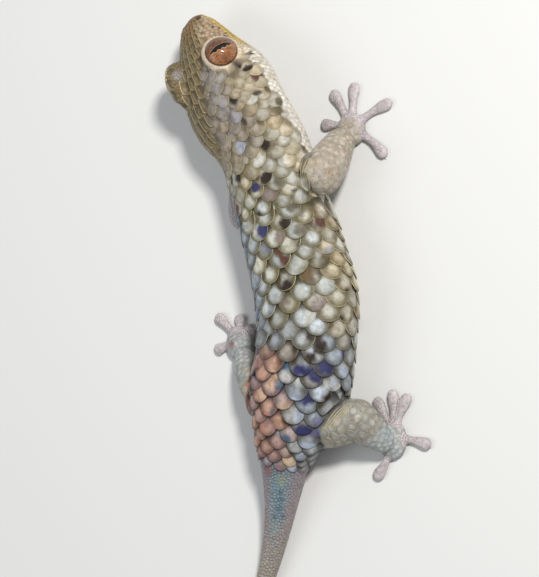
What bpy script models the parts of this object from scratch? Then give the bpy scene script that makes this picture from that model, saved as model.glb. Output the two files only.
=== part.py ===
# Fish-scale gecko, life size, clinging low to a level floor at z = 0 with its head towards +Y.
# Sizes and places below are millimetres, turned into metres where a mesh is made.
import math
import random

import bmesh
import bpy
import numpy as np
from mathutils import Vector

MM = 0.001
GAP = 0.3
MIDDLE_OF_FOOTPRINT = (2.86, -12.78)

# Head. A section is its distance behind the snout tip, how far its middle lies to the right, its
# half width, and the heights over the head's axis of its widest place, its top and its bottom.
SNOUT_TIP = (-9.2, 36.8, 6.0)
HEAD_YAW = math.radians(26.5)
HEAD_PITCH = math.radians(-3)
HEAD_ROLL = math.radians(20)
HEAD_SECTIONS = (
    (0.0, 0.0, 0.9, -0.7, -0.1, -1.3),
    (0.4, 0.0, 1.8, -0.8, 0.4, -1.7),
    (1.4, 0.0, 2.8, -1.0, 1.2, -2.1),
    (3.2, 0.0, 3.8, -1.3, 2.1, -2.6),
    (5.4, 0.0, 4.9, -1.6, 2.8, -3.1),
    (7.8, 0.3, 6.1, -1.8, 3.2, -4.0),
    (10.2, 0.6, 7.3, -1.6, 3.5, -4.9),
    (12.6, 0.8, 7.8, -1.3, 3.7, -5.3),
    (15.0, 1.05, 7.75, -0.9, 3.8, -5.3),
)
# The eyes' middles and the ways that they look; where a pair is given, it is for right and left.
EYE = {"back": {1: 8.05, -1: 7.3}, "out": 4.2, "up": 1.35, "radius": 2.35}
EYE_AIM = {"raised": {1: 34, -1: 16}, "forward": 8}
EYE_MOUND = {"radius": 3.0, "open_from": 1.0, "open_to": 5.0, "open_radius": 3.6, "sides": 12}
MOUTH = {"corner": 10.4, "front": -1.0, "rear": -2.1, "slit": 0.3, "depth": 0.45, "clear": 1.0}
MOUTH_SHARES = (1.0, 0.8, 0.6, 0.42, 0.27, 0.14, 0.05, 0.0)
LIPS = {"height": 0.75, "proud": 0.22, "sunk": 0.8}
NOSTRIL = {"back": 0.9, "out": 1.9, "up": 0.2, "size": (0.45, 0.35, 0.35)}
EAR = {"at": 16.0, "raised": 14, "size": (0.6, 0.9, 1.2)}

# Neck, body and tail. A section is the place of its axis, its roll in degrees, its half width, and
# its reach over and under the axis.
TRUNK_SECTIONS = (
    (2.3, 18.6, 6.3, 12, 6.7, 4.1, 5.0),
    (4.4, 12.1, 5.7, 4, 6.2, 4.7, 5.7),
    (6.55, 5.3, 5.3, 0, 6.4, 4.9, 5.6),
    (8.35, -1.6, 5.2, 0, 6.7, 5.0, 5.7),
    (8.25, -8.0, 5.1, 0, 6.4, 4.9, 5.6),
    (7.1, -14.0, 4.9, 0, 6.5, 4.6, 5.4),
    (5.7, -19.4, 4.2, 0, 5.1, 4.0, 4.7),
    (4.15, -23.4, 3.4, 0, 3.35, 3.2, 3.8),
    (3.4, -27.5, 2.7, 0, 2.42, 2.5, 3.0),
    (2.15, -33.0, 1.95, 0, 1.7, 1.8, 2.2),
    (0.1, -39.6, 1.3, 0, 1.2, 1.25, 1.5),
    (-3.0, -47.0, 0.95, 0, 0.9, 0.9, 1.1),
    (-7.6, -54.0, 0.75, 0, 0.7, 0.7, 0.9),
    (-13.0, -59.5, 0.55, 0, 0.5, 0.5, 0.65),
    (-19.0, -63.0, 0.35, 0, 0.33, 0.33, 0.45),
)
SQUARENESS = 2.25
TRUNK_SIDES = 18
RING_STEP = 2.4
# Where the trunk is parted, by the distance behind the snout tip along the spine.
NODES_OF_TRUNK = ("head", "neck", "torso", "tail_base", "tail_middle", "tail_tip")
PARTINGS = (17.4, 28.0, 63.0, 79.0, 94.0)
PARTING_CLEAR = 2.0

# Scales on the neck and body: plates in staggered rows over the back and flanks. Distances are along
# the spine; the outline is in shares of the local scale width, behind and beside the plate's middle.
PLATES = {"columns": 12, "first": 18.9, "last": 61.5, "lowest": -10}
PLATE_OUTLINE = ((-0.36, 0.28), (0.1, 0.5), (0.5, 0.37), (0.76, 0.0), (0.5, -0.37), (0.1, -0.5), (-0.36, -0.28))
PLATE_ROOT, PLATE_RISE, PLATE_SINK = -0.15, 0.5, 0.8
PLATE_VARIATION = {"seed": 13, "size": 0.05, "rise": 0.2, "turn": 4}

# Limbs. Joints are shoulder, elbow and wrist, or hip, knee and ankle. Toe tips run from the inner
# toe to the outer one, each with the sideways bend of the toe.
LIMBS = {
    "foreleg_right": {
        "joints": ((6.6, 15.9, 5.4), (11.25, 15.2, 6.4), (11.9, 19.4, 2.4)),
        "radii": (2.2, 2.85, 2.1),
        "palm": (12.8, 21.4),
        "palm_size": (2.1, 2.3),
        "toes": (
            (8.2, 22.1, 0.3),
            (9.8, 26.7, 0.2),
            (13.2, 27.7, 0.0),
            (18.7, 24.9, -0.4),
            (17.8, 17.6, -0.5),
        ),
    },
    "foreleg_left": {
        "joints": ((1.2, 14.6, 5.4), (-1.4, 9.8, 3.0), (-3.2, 13.4, 1.6)),
        "radii": (2.1, 1.7, 1.3),
        "palm": (-3.7, 15.3),
        "palm_size": (2.0, 2.2),
        "toes": (
            (-3.2, 20.4, 0.2),
            (-5.1, 20.9, 0.0),
            (-6.7, 20.0, 0.0),
            (-7.0, 17.6, 0.3),
            (-4.3, 8.4, 1.6),
        ),
    },
    "hindleg_right": {
        "joints": ((10.2, -18.2, 4.2), (15.5, -17.4, 4.4), (18.0, -20.2, 2.0)),
        "radii": (3.3, 2.8, 1.7),
        "palm": (18.9, -20.2),
        "palm_size": (2.1, 2.7),
        "toes": (
            (16.3, -14.7, 0.3),
            (18.8, -13.5, 0.2),
            (21.2, -14.1, -0.2),
            (24.4, -20.9, -0.4),
            (16.3, -25.5, -0.4),
        ),
    },
    "hindleg_left": {
        "joints": ((2.9, -16.2, 4.3), (0.3, -13.4, 4.6), (-3.0, -9.3, 1.7)),
        "radii": (2.8, 2.1, 1.4),
        "palm": (-4.2, -7.6),
        "palm_size": (2.2, 2.5),
        "toes": (
            (-2.2, -5.3, -0.2),
            (-4.4, -3.6, 0.0),
            (-8.1, -3.7, 0.2),
            (-8.2, -8.7, 0.3),
            (-4.7, -12.2, -0.4),
        ),
    },
}
LIMB_SIDES = 10
# A limb's length swells at its middle by a share of its length, and is rounded off over its ends.
LIMB_BULGE = 0.04
LIMB_END_TURNS = (math.radians(60), math.radians(25))
BEND_STEP = 0.1
FOOT = {"height": 1.7, "centre": 0.55}
# A toe's stations: share of its length, half width, half thickness.
TOE_STATIONS = ((0.1, 0.8, 0.62), (0.42, 0.6, 0.56), (0.7, 0.74, 0.54), (0.9, 0.8, 0.46), (1.0, 0.42, 0.3))
TOE_SIDES = 6
TOE_CENTRE = 0.45
TOE_STEP = 0.02
# A claw's stations: share of its length, height over the floor, radius.
CLAW_STATIONS = ((0.0, 0.5, 0.27), (0.6, 0.48, 0.2), (1.0, 0.3, 0.1))
CLAW = {"length": 0.95, "sunk": 0.45, "sides": 4}

COLOURS = {
    "head": (0.24, 0.20, 0.11),
    "neck": (0.36, 0.35, 0.28),
    "torso": (0.40, 0.40, 0.34),
    "tail": (0.22, 0.20, 0.16),
    "leg": (0.34, 0.32, 0.27),
    "foot": (0.45, 0.38, 0.38),
    "eye": (0.25, 0.09, 0.03),
}
ROUGHNESS = {"eye": 0.08, "foot": 0.6}
PLAIN_ROUGHNESS = 0.5
SHARP_ANGLE = math.radians(40)

for old in list(bpy.data.objects):
    bpy.data.objects.remove(old, do_unlink=True)

part = bpy.data.collections.new("fish_scale_gecko")
bpy.context.scene.collection.children.link(part)


def metres(point):
    x, y, z = point
    return Vector(((x - MIDDLE_OF_FOOTPRINT[0]) * MM, (y - MIDDLE_OF_FOOTPRINT[1]) * MM, z * MM))


def unit(vector):
    return vector / np.linalg.norm(vector)


# Faces point outwards, whichever way round the form was made.
def add_object(name, form):
    if form.calc_volume(signed=True) < 0:
        bmesh.ops.reverse_faces(form, faces=form.faces)
    mesh = bpy.data.meshes.new(name)
    form.to_mesh(mesh)
    form.free()
    made = bpy.data.objects.new(name, mesh)
    part.objects.link(made)
    return made


def finish(made, colour):
    material = bpy.data.materials.new(made.name)
    material.use_nodes = True
    shader = material.node_tree.nodes["Principled BSDF"]
    shader.inputs["Base Color"].default_value = (*COLOURS[colour], 1)
    shader.inputs["Roughness"].default_value = ROUGHNESS.get(colour, PLAIN_ROUGHNESS)
    shader.inputs["Metallic"].default_value = 0
    made.data.materials.clear()
    made.data.materials.append(material)
    made.data.shade_smooth()
    made.data.set_sharp_from_angle(angle=SHARP_ANGLE)


# A closed mesh over rings that hold the same number of points, capped flat at either end.
def lofted(name, rings):
    form = bmesh.new()
    loops = [[form.verts.new(metres(point)) for point in ring] for ring in rings]
    for front, back in zip(loops, loops[1:]):
        for i in range(len(front)):
            form.faces.new((front[i - 1], front[i], back[i], back[i - 1]))
    form.faces.new(loops[0])
    form.faces.new(loops[-1])
    bmesh.ops.recalc_face_normals(form, faces=form.faces)
    return add_object(name, form)


# An ellipsoid whose three half sizes lie along the columns of `axes`.
def ellipsoid(name, centre, size, axes=np.eye(3), segments=10, floor=None):
    form = bmesh.new()
    bmesh.ops.create_uvsphere(form, u_segments=segments, v_segments=segments * 2 // 3, radius=1)
    for vert in form.verts:
        point = np.array(centre) + axes @ (np.array(vert.co) * size)
        if floor is not None:
            point[2] = max(point[2], floor)
        vert.co = metres(point)
    bmesh.ops.recalc_face_normals(form, faces=form.faces)
    return add_object(name, form)


def replace_mesh(made, modifier):
    graph = bpy.context.evaluated_depsgraph_get()
    mesh = bpy.data.meshes.new_from_object(made.evaluated_get(graph))
    made.modifiers.remove(modifier)
    made.data = mesh


# Joins the others to the object, or cuts them from it, and removes them.
def combine(made, others, operation):
    group = bpy.data.collections.new(made.name + "_pieces")
    bpy.context.scene.collection.children.link(group)
    for other in others:
        part.objects.unlink(other)
        group.objects.link(other)
    modifier = made.modifiers.new(operation.lower(), "BOOLEAN")
    modifier.operation = operation
    modifier.solver = "MANIFOLD"
    modifier.operand_type = "COLLECTION"
    modifier.collection = group
    replace_mesh(made, modifier)
    for other in others:
        bpy.data.objects.remove(other, do_unlink=True)
    bpy.data.collections.remove(group)


# The closed surfaces of a mesh, as lists of face indices, the most voluminous first.
def closed_surfaces(form):
    form.faces.ensure_lookup_table()
    left = set(range(len(form.faces)))
    found = []
    while left:
        front = [left.pop()]
        island = list(front)
        while front:
            face = form.faces[front.pop()]
            near = {other.index for edge in face.edges for other in edge.link_faces} & left
            left -= near
            front += near
            island += near
        volume = 0.0
        for index in island:
            corners = [vert.co for vert in form.faces[index].verts]
            for second, third in zip(corners[1:], corners[2:]):
                volume += corners[0].dot(second.cross(third))
        found.append((abs(volume), island))
    return [island for _, island in sorted(found, key=lambda item: -item[0])]


def keep_faces(form, island):
    keep = set(island)
    spare = [face for face in form.faces if face.index not in keep]
    bmesh.ops.delete(form, geom=spare, context="FACES")


def keep_largest(made):
    form = bmesh.new()
    form.from_mesh(made.data)
    keep_faces(form, closed_surfaces(form)[0])
    form.to_mesh(made.data)
    form.free()


# A smooth curve through the rows at the knots, read at the given places.
def through(knots, rows, at):
    at = np.atleast_1d(np.asarray(at, float))
    slopes = np.gradient(rows, knots, axis=0)
    i = np.clip(np.searchsorted(knots, at, side="right") - 1, 0, len(knots) - 2)
    span = (knots[i + 1] - knots[i])[:, None]
    t = (at - knots[i])[:, None] / span
    start = (1 + 2 * t) * (1 - t) ** 2 * rows[i] + t * (1 - t) ** 2 * span * slopes[i]
    end = t**2 * (3 - 2 * t) * rows[i + 1] + t**2 * (t - 1) * span * slopes[i + 1]
    return start + end


# The rolled side and up directions of a section that faces along `forward`.
def section_axes(forward, roll):
    level = unit(np.cross(forward, (0, 0, 1)))
    upright = np.cross(level, forward)
    side = level * math.cos(roll) + upright * math.sin(roll)
    return side, upright * math.cos(roll) - level * math.sin(roll)


HEAD_FORWARD = np.array(
    (
        -math.sin(HEAD_YAW) * math.cos(HEAD_PITCH),
        math.cos(HEAD_YAW) * math.cos(HEAD_PITCH),
        math.sin(HEAD_PITCH),
    )
)
HEAD_SIDE, HEAD_UP = section_axes(HEAD_FORWARD, HEAD_ROLL)
HEAD_AXES = np.column_stack((HEAD_FORWARD, HEAD_SIDE, HEAD_UP))


def on_head(back, out, up):
    return np.array(SNOUT_TIP) - HEAD_FORWARD * back + HEAD_SIDE * out + HEAD_UP * up


# Every section of the animal from snout to tail tip as one row: centre, side, up, half width, and
# reach over and under the centre.
def spine_rows():
    rows = []
    for back, aside, half_width, widest, top, bottom in HEAD_SECTIONS:
        centre = on_head(back, aside, widest)
        rows.append((*centre, *HEAD_SIDE, *HEAD_UP, half_width, top - widest, widest - bottom))
    axis = np.array([section[:3] for section in TRUNK_SECTIONS])
    tangents = np.gradient(axis, axis=0)
    for section, tangent in zip(TRUNK_SECTIONS, tangents):
        side, up = section_axes(unit(-tangent), math.radians(section[3]))
        rows.append((*section[:3], *side, *up, *section[4:]))
    return np.array(rows)


ROWS = spine_rows()
KNOTS = np.concatenate(((0,), np.cumsum(np.linalg.norm(np.diff(ROWS[:, :3], axis=0), axis=1))))


# Points of the body's surface, at a distance behind the snout tip and an angle round the section
# that is 0 at the right side and a quarter turn at the back.
def body_points(at, angle, floor=0.0):
    rows = through(KNOTS, ROWS, at)
    angle = np.atleast_1d(angle)
    side = rows[:, 3:6] / np.linalg.norm(rows[:, 3:6], axis=1)[:, None]
    up = rows[:, 6:9] / np.linalg.norm(rows[:, 6:9], axis=1)[:, None]
    power = 2 / SQUARENESS
    across = np.sign(np.cos(angle)) * np.abs(np.cos(angle)) ** power * rows[:, 9]
    height = np.sign(np.sin(angle)) * np.abs(np.sin(angle)) ** power
    height *= np.where(height > 0, rows[:, 10], rows[:, 11])
    points = rows[:, :3] + side * across[:, None] + up * height[:, None]
    points[:, 2] = np.maximum(points[:, 2], floor)
    return points


def trunk():
    places = [0.0]
    for start, end in zip(KNOTS, KNOTS[1:]):
        count = math.ceil((end - start) / RING_STEP)
        places += [start + (end - start) * (i + 1) / count for i in range(count)]
    angles = np.arange(TRUNK_SIDES) * math.tau / TRUNK_SIDES
    return lofted("trunk", [body_points(np.full(TRUNK_SIDES, at), angles) for at in places])


# How wide one scale is at a place along the spine: its share of the way round the body there.
def scale_width(at):
    row = through(KNOTS, ROWS, at)[0]
    half_height = (row[10] + row[11]) / 2
    return math.tau * math.sqrt((row[9] ** 2 + half_height**2) / 2) / PLATES["columns"]


# The body's outward direction at each place and angle.
def body_normals(at, angle):
    along_step, angle_step = 0.1, 0.02
    along = body_points(at + along_step, angle) - body_points(at - along_step, angle)
    around = body_points(at, angle + angle_step) - body_points(at, angle - angle_step)
    normals = np.cross(around, along)
    return normals / np.linalg.norm(normals, axis=1)[:, None], np.linalg.norm(around, axis=1) / (2 * angle_step)


# One plate: rooted in the body at its front, its rounded rear edge standing clear.
def plate(at, angle, width, rise, turn):
    outline = np.array(PLATE_OUTLINE) * width
    turned = np.column_stack(
        (
            outline[:, 0] * math.cos(turn) - outline[:, 1] * math.sin(turn),
            outline[:, 0] * math.sin(turn) + outline[:, 1] * math.cos(turn),
        )
    )
    _, radius = body_normals(np.array([at]), np.array([angle]))
    places, angles = at + turned[:, 0], angle + turned[:, 1] / radius[0]
    surface = body_points(places, angles)
    normals, _ = body_normals(places, angles)
    front, rear = outline[:, 0].min(), outline[:, 0].max()
    lift = PLATE_ROOT + (rise - PLATE_ROOT) * (outline[:, 0] - front) / (rear - front)
    return lofted("plate", [surface - normals * PLATE_SINK, surface + normals * lift[:, None]])


def plates():
    draw = random.Random(PLATE_VARIATION["seed"])
    pieces = []
    at, row = PLATES["first"], 0
    while at < PLATES["last"]:
        width = scale_width(at)
        for column in range(PLATES["columns"]):
            angle = (column + 0.5 * (row % 2)) * math.tau / PLATES["columns"]
            if math.sin(angle) < math.sin(math.radians(PLATES["lowest"])):
                continue
            size = width * (1 + draw.uniform(-1, 1) * PLATE_VARIATION["size"])
            rise = PLATE_RISE * (1 + draw.uniform(-1, 1) * PLATE_VARIATION["rise"])
            turn = math.radians(draw.uniform(-1, 1) * PLATE_VARIATION["turn"])
            pieces.append(plate(at, angle, size, rise, turn))
        at += width / 2
        row += 1
    return pieces


# A thin slab across the spine, wide enough to part the section there.
def parting(at):
    row = through(KNOTS, ROWS, at)[0]
    side = unit(row[3:6])
    forward = np.cross(row[6:9], side)
    up = unit(np.cross(side, forward))
    form = bmesh.new()
    bmesh.ops.create_cube(form, size=2)
    size = np.array((row[9] + PARTING_CLEAR, GAP / 2, max(row[10], row[11]) + PARTING_CLEAR))
    axes = np.column_stack((side, unit(forward), up))
    for vert in form.verts:
        vert.co = metres(row[:3] + axes @ (np.array(vert.co) * size))
    return add_object("parting", form)


# A limb's length between two joints, with round ends, made thicker by `swell` where it cuts.
def limb_length(name, start, end, radii, swell=0.0):
    start, end = np.array(start), np.array(end)
    along = unit(end - start)
    side, up = section_axes(along, 0)
    bulge = LIMB_BULGE * np.linalg.norm(end - start)
    stations = [(start, radii[0]), ((start + end) / 2, (radii[0] + radii[1]) / 2 + bulge), (end, radii[1])]
    rows = []
    for turn in LIMB_END_TURNS:
        radius = radii[0] + swell
        rows.append((start - along * radius * math.sin(turn), radius * math.cos(turn)))
    rows += [(centre, radius + swell) for centre, radius in stations]
    for turn in reversed(LIMB_END_TURNS):
        radius = radii[1] + swell
        rows.append((end + along * radius * math.sin(turn), radius * math.cos(turn)))
    angles = np.arange(LIMB_SIDES) * math.tau / LIMB_SIDES
    rings = []
    for centre, radius in rows:
        ring = centre + radius * (np.outer(np.cos(angles), side) + np.outer(np.sin(angles), up))
        if not swell:
            ring[:, 2] = np.maximum(ring[:, 2], GAP)
        rings.append(ring)
    return lofted(name, rings)


# A toe from the middle of the palm to its tip, bent sideways, flat on the floor, with its claw.
def toe_pieces(palm, tip, bend):
    palm, tip = np.array((*palm, 0.0)), np.array((*tip, 0.0))
    reach = tip - palm
    sideways = unit(np.cross(reach, (0, 0, 1)))

    def centre(share):
        return palm + reach * share + sideways * bend * 4 * share * (1 - share)

    rings = []
    for share, half_width, half_height in TOE_STATIONS:
        ahead = unit(centre(share + TOE_STEP) - centre(share - TOE_STEP))
        side = np.cross(ahead, (0, 0, 1))
        ring = []
        for i in range(TOE_SIDES):
            angle = (i + 0.5) * math.tau / TOE_SIDES
            height = TOE_CENTRE + half_height * math.sin(angle)
            point = centre(share) + side * half_width * math.cos(angle)
            ring.append((point[0], point[1], max(height, 0.0)))
        rings.append(ring)
    ahead = unit(centre(1.0) - centre(1.0 - TOE_STEP))
    side = np.cross(ahead, (0, 0, 1))
    claw = []
    for share, height, radius in CLAW_STATIONS:
        middle = centre(1.0) + ahead * (CLAW["length"] * share - CLAW["sunk"]) + np.array((0, 0, height))
        angles = [i * math.tau / CLAW["sides"] for i in range(CLAW["sides"])]
        claw.append(
            [middle + radius * (side * math.cos(a) + np.array((0, 0, 1)) * math.sin(a)) for a in angles]
        )
    return [lofted("toe", rings), lofted("claw", claw)]


def foot(name, limb):
    size = (*limb["palm_size"], FOOT["height"] - FOOT["centre"])
    made = ellipsoid(name, (*limb["palm"], FOOT["centre"]), size, floor=0.0)
    pieces = []
    for x, y, bend in limb["toes"]:
        pieces += toe_pieces(limb["palm"], (x, y), bend)
    combine(made, pieces, "UNION")
    return made


# The lengths of one limb and its foot, each clear of the next, and the cutters that make room for
# them in the trunk.
def build_limb(name, limb):
    root, bend, end = limb["joints"]
    root_radius, bend_radius, end_radius = limb["radii"]
    fore = name.startswith("fore")
    upper_name = name + ("_upper" if fore else "_thigh")
    lower_name = name + ("_lower" if fore else "_shin")
    foot_name = ("hand_" if fore else "foot_") + name.split("_")[1]
    upper = limb_length(upper_name, root, bend, (root_radius, bend_radius))
    lower = limb_length(lower_name, bend, end, (bend_radius - BEND_STEP, end_radius))
    palm = foot(foot_name, limb)
    for joined in (upper, palm):
        cutter = limb_length("cutter", bend, end, (bend_radius - BEND_STEP, end_radius), GAP)
        combine(joined, [cutter], "DIFFERENCE")
        keep_largest(joined)
    finish(upper, "leg")
    finish(lower, "leg")
    finish(palm, "foot")
    room = [
        limb_length("cutter", root, bend, (root_radius, bend_radius), GAP),
        limb_length("cutter", bend, end, (bend_radius - BEND_STEP, end_radius), GAP),
    ]
    return room


# The eyeball's middle and the three directions of its cap: out of the head, forward and up.
def eye_axes(side):
    raised, ahead = math.radians(EYE_AIM["raised"][side]), math.radians(EYE_AIM["forward"])
    out = HEAD_SIDE * side * math.cos(raised) + HEAD_UP * math.sin(raised)
    out = unit(out * math.cos(ahead) + HEAD_FORWARD * math.sin(ahead))
    forward = unit(np.cross(np.cross(out, HEAD_FORWARD), out))
    centre = on_head(EYE["back"][side], side * EYE["out"], EYE["up"])
    return centre, np.column_stack((forward, np.cross(out, forward), out))


def eyeball(name, side, radius):
    centre, axes = eye_axes(side)
    return ellipsoid(name, centre, (radius,) * 3, axes, segments=14)


# Clears the mound in front of the eye, so that its rim stands round the eyeball.
def eye_window(side):
    centre, axes = eye_axes(side)
    angles = np.arange(EYE_MOUND["sides"]) * math.tau / EYE_MOUND["sides"]
    circle = np.outer(np.cos(angles), axes[:, 0]) + np.outer(np.sin(angles), axes[:, 1])
    rings = []
    for out in (EYE_MOUND["open_from"], EYE_MOUND["open_to"]):
        rings.append(centre + axes[:, 2] * out + circle * EYE_MOUND["open_radius"])
    return lofted("window", rings)


def mouth_height(back):
    share = back / MOUTH["corner"]
    return MOUTH["front"] + (MOUTH["rear"] - MOUTH["front"]) * share


# The mouth's line round the snout, from the right corner to the left one: distance back and out.
def mouth_line():
    right = []
    backs = [MOUTH["corner"] * share for share in MOUTH_SHARES]
    sections = np.array(HEAD_SECTIONS)
    for back in backs:
        _, _, half_width, widest, top, bottom = through(sections[:, 0], sections, back)[0]
        rise = mouth_height(back) - widest
        share = rise / (top - widest) if rise > 0 else rise / (bottom - widest)
        right.append((back, half_width * (1 - share**SQUARENESS) ** (1 / SQUARENESS)))
    return right + [(back, -out) for back, out in reversed(right)]


# A band swept along the mouth's line; its section is pairs of (outward, upward) offsets.
def along_mouth(name, section):
    line = np.array(mouth_line())
    tangents = np.gradient(line, axis=0)
    rings = []
    for (back, out), (back_step, out_step) in zip(line, tangents):
        length = math.hypot(back_step, out_step)
        ahead, sideways = out_step / length, -back_step / length
        ring = []
        for outward, upward in section:
            ring.append(
                on_head(back + outward * ahead, out + outward * sideways, mouth_height(back) + upward)
            )
        rings.append(ring)
    return lofted(name, rings)


def detail_head(head):
    high, proud, sunk = LIPS["height"], LIPS["proud"], LIPS["sunk"]
    lips = along_mouth("lips", ((-sunk, -high), (proud, -high / 2), (proud, high / 2), (-sunk, high)))
    mounds = [eyeball("mound", side, EYE_MOUND["radius"]) for side in (1, -1)]
    combine(head, [*mounds, lips], "UNION")
    half, depth, clear = MOUTH["slit"] / 2, MOUTH["depth"], MOUTH["clear"]
    cutters = [along_mouth("slit", ((-depth, -half), (clear, -half), (clear, half), (-depth, half)))]
    for side in (1, -1):
        cutters.append(eyeball("socket", side, EYE["radius"] + GAP))
        cutters.append(eye_window(side))
        nostril = on_head(NOSTRIL["back"], side * NOSTRIL["out"], NOSTRIL["up"])
        cutters.append(ellipsoid("nostril", nostril, NOSTRIL["size"], HEAD_AXES, segments=8))
        raised = math.radians(EAR["raised"])
        ear = body_points(EAR["at"], raised if side == 1 else math.pi - raised)[0]
        cutters.append(ellipsoid("ear", ear, EAR["size"], HEAD_AXES, segments=8))
    combine(head, cutters, "DIFFERENCE")
    keep_largest(head)


# Parts the trunk with thin slabs, and names what is left from the snout to the tail tip.
def part_trunk(whole, room):
    combine(whole, [parting(at) for at in PARTINGS] + room, "DIFFERENCE")
    form = bmesh.new()
    form.from_mesh(whole.data)
    islands = closed_surfaces(form)[: len(NODES_OF_TRUNK)]
    islands.sort(key=lambda island: -max(form.faces[i].calc_center_median().y for i in island))
    nodes = {}
    for name, island in zip(NODES_OF_TRUNK, islands):
        piece = form.copy()
        piece.faces.ensure_lookup_table()
        keep_faces(piece, island)
        nodes[name] = add_object(name, piece)
    form.free()
    bpy.data.objects.remove(whole, do_unlink=True)
    return nodes


limb_room = []
for limb_name, limb in LIMBS.items():
    limb_room += build_limb(limb_name, limb)
whole_trunk = trunk()
combine(whole_trunk, plates(), "UNION")
trunk_nodes = part_trunk(whole_trunk, limb_room)
detail_head(trunk_nodes["head"])
for node_name, node in trunk_nodes.items():
    finish(node, "tail" if node_name.startswith("tail") else node_name)
for side, side_name in ((1, "right"), (-1, "left")):
    finish(eyeball("eye_" + side_name, side, EYE["radius"]), "eye")
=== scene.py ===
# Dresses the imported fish-scale gecko: one skin, its overlapping scales, the eyes and the claws, on a
# plain pale floor. Lengths are millimetres in the animal's own frame until a mesh is finished.
import math

import bpy
import numpy as np
from mathutils import Matrix, Vector
from mathutils.bvhtree import BVHTree
from mathutils.kdtree import KDTree


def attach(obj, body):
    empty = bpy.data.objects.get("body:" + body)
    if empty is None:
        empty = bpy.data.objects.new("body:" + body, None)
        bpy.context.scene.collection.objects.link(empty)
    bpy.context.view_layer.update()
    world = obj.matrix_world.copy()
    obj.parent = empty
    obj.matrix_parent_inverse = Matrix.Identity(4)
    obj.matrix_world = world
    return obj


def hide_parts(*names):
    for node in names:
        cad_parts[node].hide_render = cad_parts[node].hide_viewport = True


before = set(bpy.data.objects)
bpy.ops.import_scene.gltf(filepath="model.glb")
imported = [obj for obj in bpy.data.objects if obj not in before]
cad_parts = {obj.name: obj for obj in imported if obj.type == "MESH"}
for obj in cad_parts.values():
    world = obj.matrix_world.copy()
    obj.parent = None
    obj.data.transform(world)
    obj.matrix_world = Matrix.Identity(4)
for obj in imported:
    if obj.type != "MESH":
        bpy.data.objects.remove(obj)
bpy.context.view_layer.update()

middle = np.array((2.86, -12.78, 0.0))  # of the footprint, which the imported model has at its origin


def addObject(name, data):
    added = bpy.data.objects.new(name, data)
    bpy.context.scene.collection.objects.link(added)
    return added


view = {
    "tilt": 28,  # degrees from straight down, towards the animal's right
    "distance": 350,
    "pixelsPerMm": 7.29,
    "frameWidth": 539,
    "frameHeight": 577,
    "sensor": 36,
}
tilt = math.radians(view["tilt"])
towardsCamera = Vector((math.sin(tilt), 0, math.cos(tilt)))
cameraRight = Vector((math.cos(tilt), 0, -math.sin(tilt)))
cameraData = bpy.data.cameras.new("photoView")
cameraData.sensor_fit = "VERTICAL"
cameraData.sensor_height = view["sensor"]
cameraData.lens = view["sensor"] * view["distance"] * view["pixelsPerMm"] / view["frameHeight"]
cameraData.clip_start = 0.01
camera = addObject("photoView", cameraData)
aim = Vector(-middle / 1000)
camera.matrix_world = (
    Matrix.Translation(aim + towardsCamera * view["distance"] / 1000)
    @ Matrix((cameraRight, Vector((0, 1, 0)), towardsCamera)).transposed().to_4x4()
)
bpy.context.scene.camera = camera


def linear(red, green, blue):
    # a display colour from 0 to 255, as the linear values that shaders take
    values = np.array((red, green, blue), float) / 255
    return np.where(values > 0.04045, ((values + 0.055) / 1.055) ** 2.4, values / 12.92)


def rgba(colour):
    return (*(float(part) for part in colour), 1.0)


class Wire:  # a node's socket, so that shader maths reads as an expression
    def __init__(self, finish, socket):
        self.finish = finish
        self.socket = socket

    def math(self, operation, *values):
        return self.finish.node("ShaderNodeMath", {"operation": operation}, dict(enumerate(values)))

    def __add__(self, other):
        return self.math("ADD", self, other)

    __radd__ = __add__

    def __sub__(self, other):
        return self.math("SUBTRACT", self, other)

    def __rsub__(self, other):
        return self.math("SUBTRACT", other, self)

    def __mul__(self, other):
        return self.math("MULTIPLY", self, other)

    __rmul__ = __mul__


class Finish:  # one material and the few ways its nodes are made
    def __init__(self, name):
        self.material = bpy.data.materials.new(name)
        self.material.use_nodes = True
        self.tree = self.material.node_tree
        self.shader = self.tree.nodes["Principled BSDF"]

    def node(self, kind, settings=None, sockets=None, output=0):
        made = self.tree.nodes.new(kind)
        for name, value in (settings or {}).items():
            setattr(made, name, value)
        for name, value in (sockets or {}).items():
            self.feed(made.inputs[name], value)
        return Wire(self, made.outputs[output])

    def feed(self, socket, value):
        if isinstance(value, Wire):
            self.tree.links.new(value.socket, socket)
        else:
            socket.default_value = value

    def set(self, **values):
        for name, value in values.items():
            self.feed(self.shader.inputs[name.replace("_", " ")], value)

    def size(self, value):
        return self.node("ShaderNodeMath", {"operation": "ABSOLUTE"}, {0: value})

    def read(self, name, output="Fac"):
        return self.node("ShaderNodeAttribute", {"attribute_name": name}, output=output)

    def place(self):
        return self.node("ShaderNodeTexCoord", output="Object")

    def fade(self, value, start, end, low=0.0, high=1.0):
        sockets = {"Value": value, "From Min": start, "From Max": end, "To Min": low, "To Max": high}
        return self.node("ShaderNodeMapRange", {"interpolation_type": "SMOOTHSTEP"}, sockets)

    def blend(self, share, first, second, way="MIX"):
        # a colour is a socket, or a display colour from 0 to 255
        parts = [rgba(linear(*part)) if isinstance(part, tuple) else part for part in (first, second)]
        settings = {"data_type": "RGBA", "blend_type": way, "clamp_factor": True}
        return self.node("ShaderNodeMix", settings, {0: share, 6: parts[0], 7: parts[1]}, 2)

    def noise(self, place, size, detail=2.0, rough=0.5):
        # size is the width of a patch in millimetres
        sockets = {"Vector": place, "Scale": 1000 / size, "Detail": detail, "Roughness": rough}
        return self.node("ShaderNodeTexNoise", None, sockets, "Fac")

    def bump(self, height, depth, strength=1.0):
        # depth in millimetres
        sockets = {"Height": height, "Distance": depth / 1000, "Strength": strength}
        return self.node("ShaderNodeBump", None, sockets, "Normal")


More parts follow.
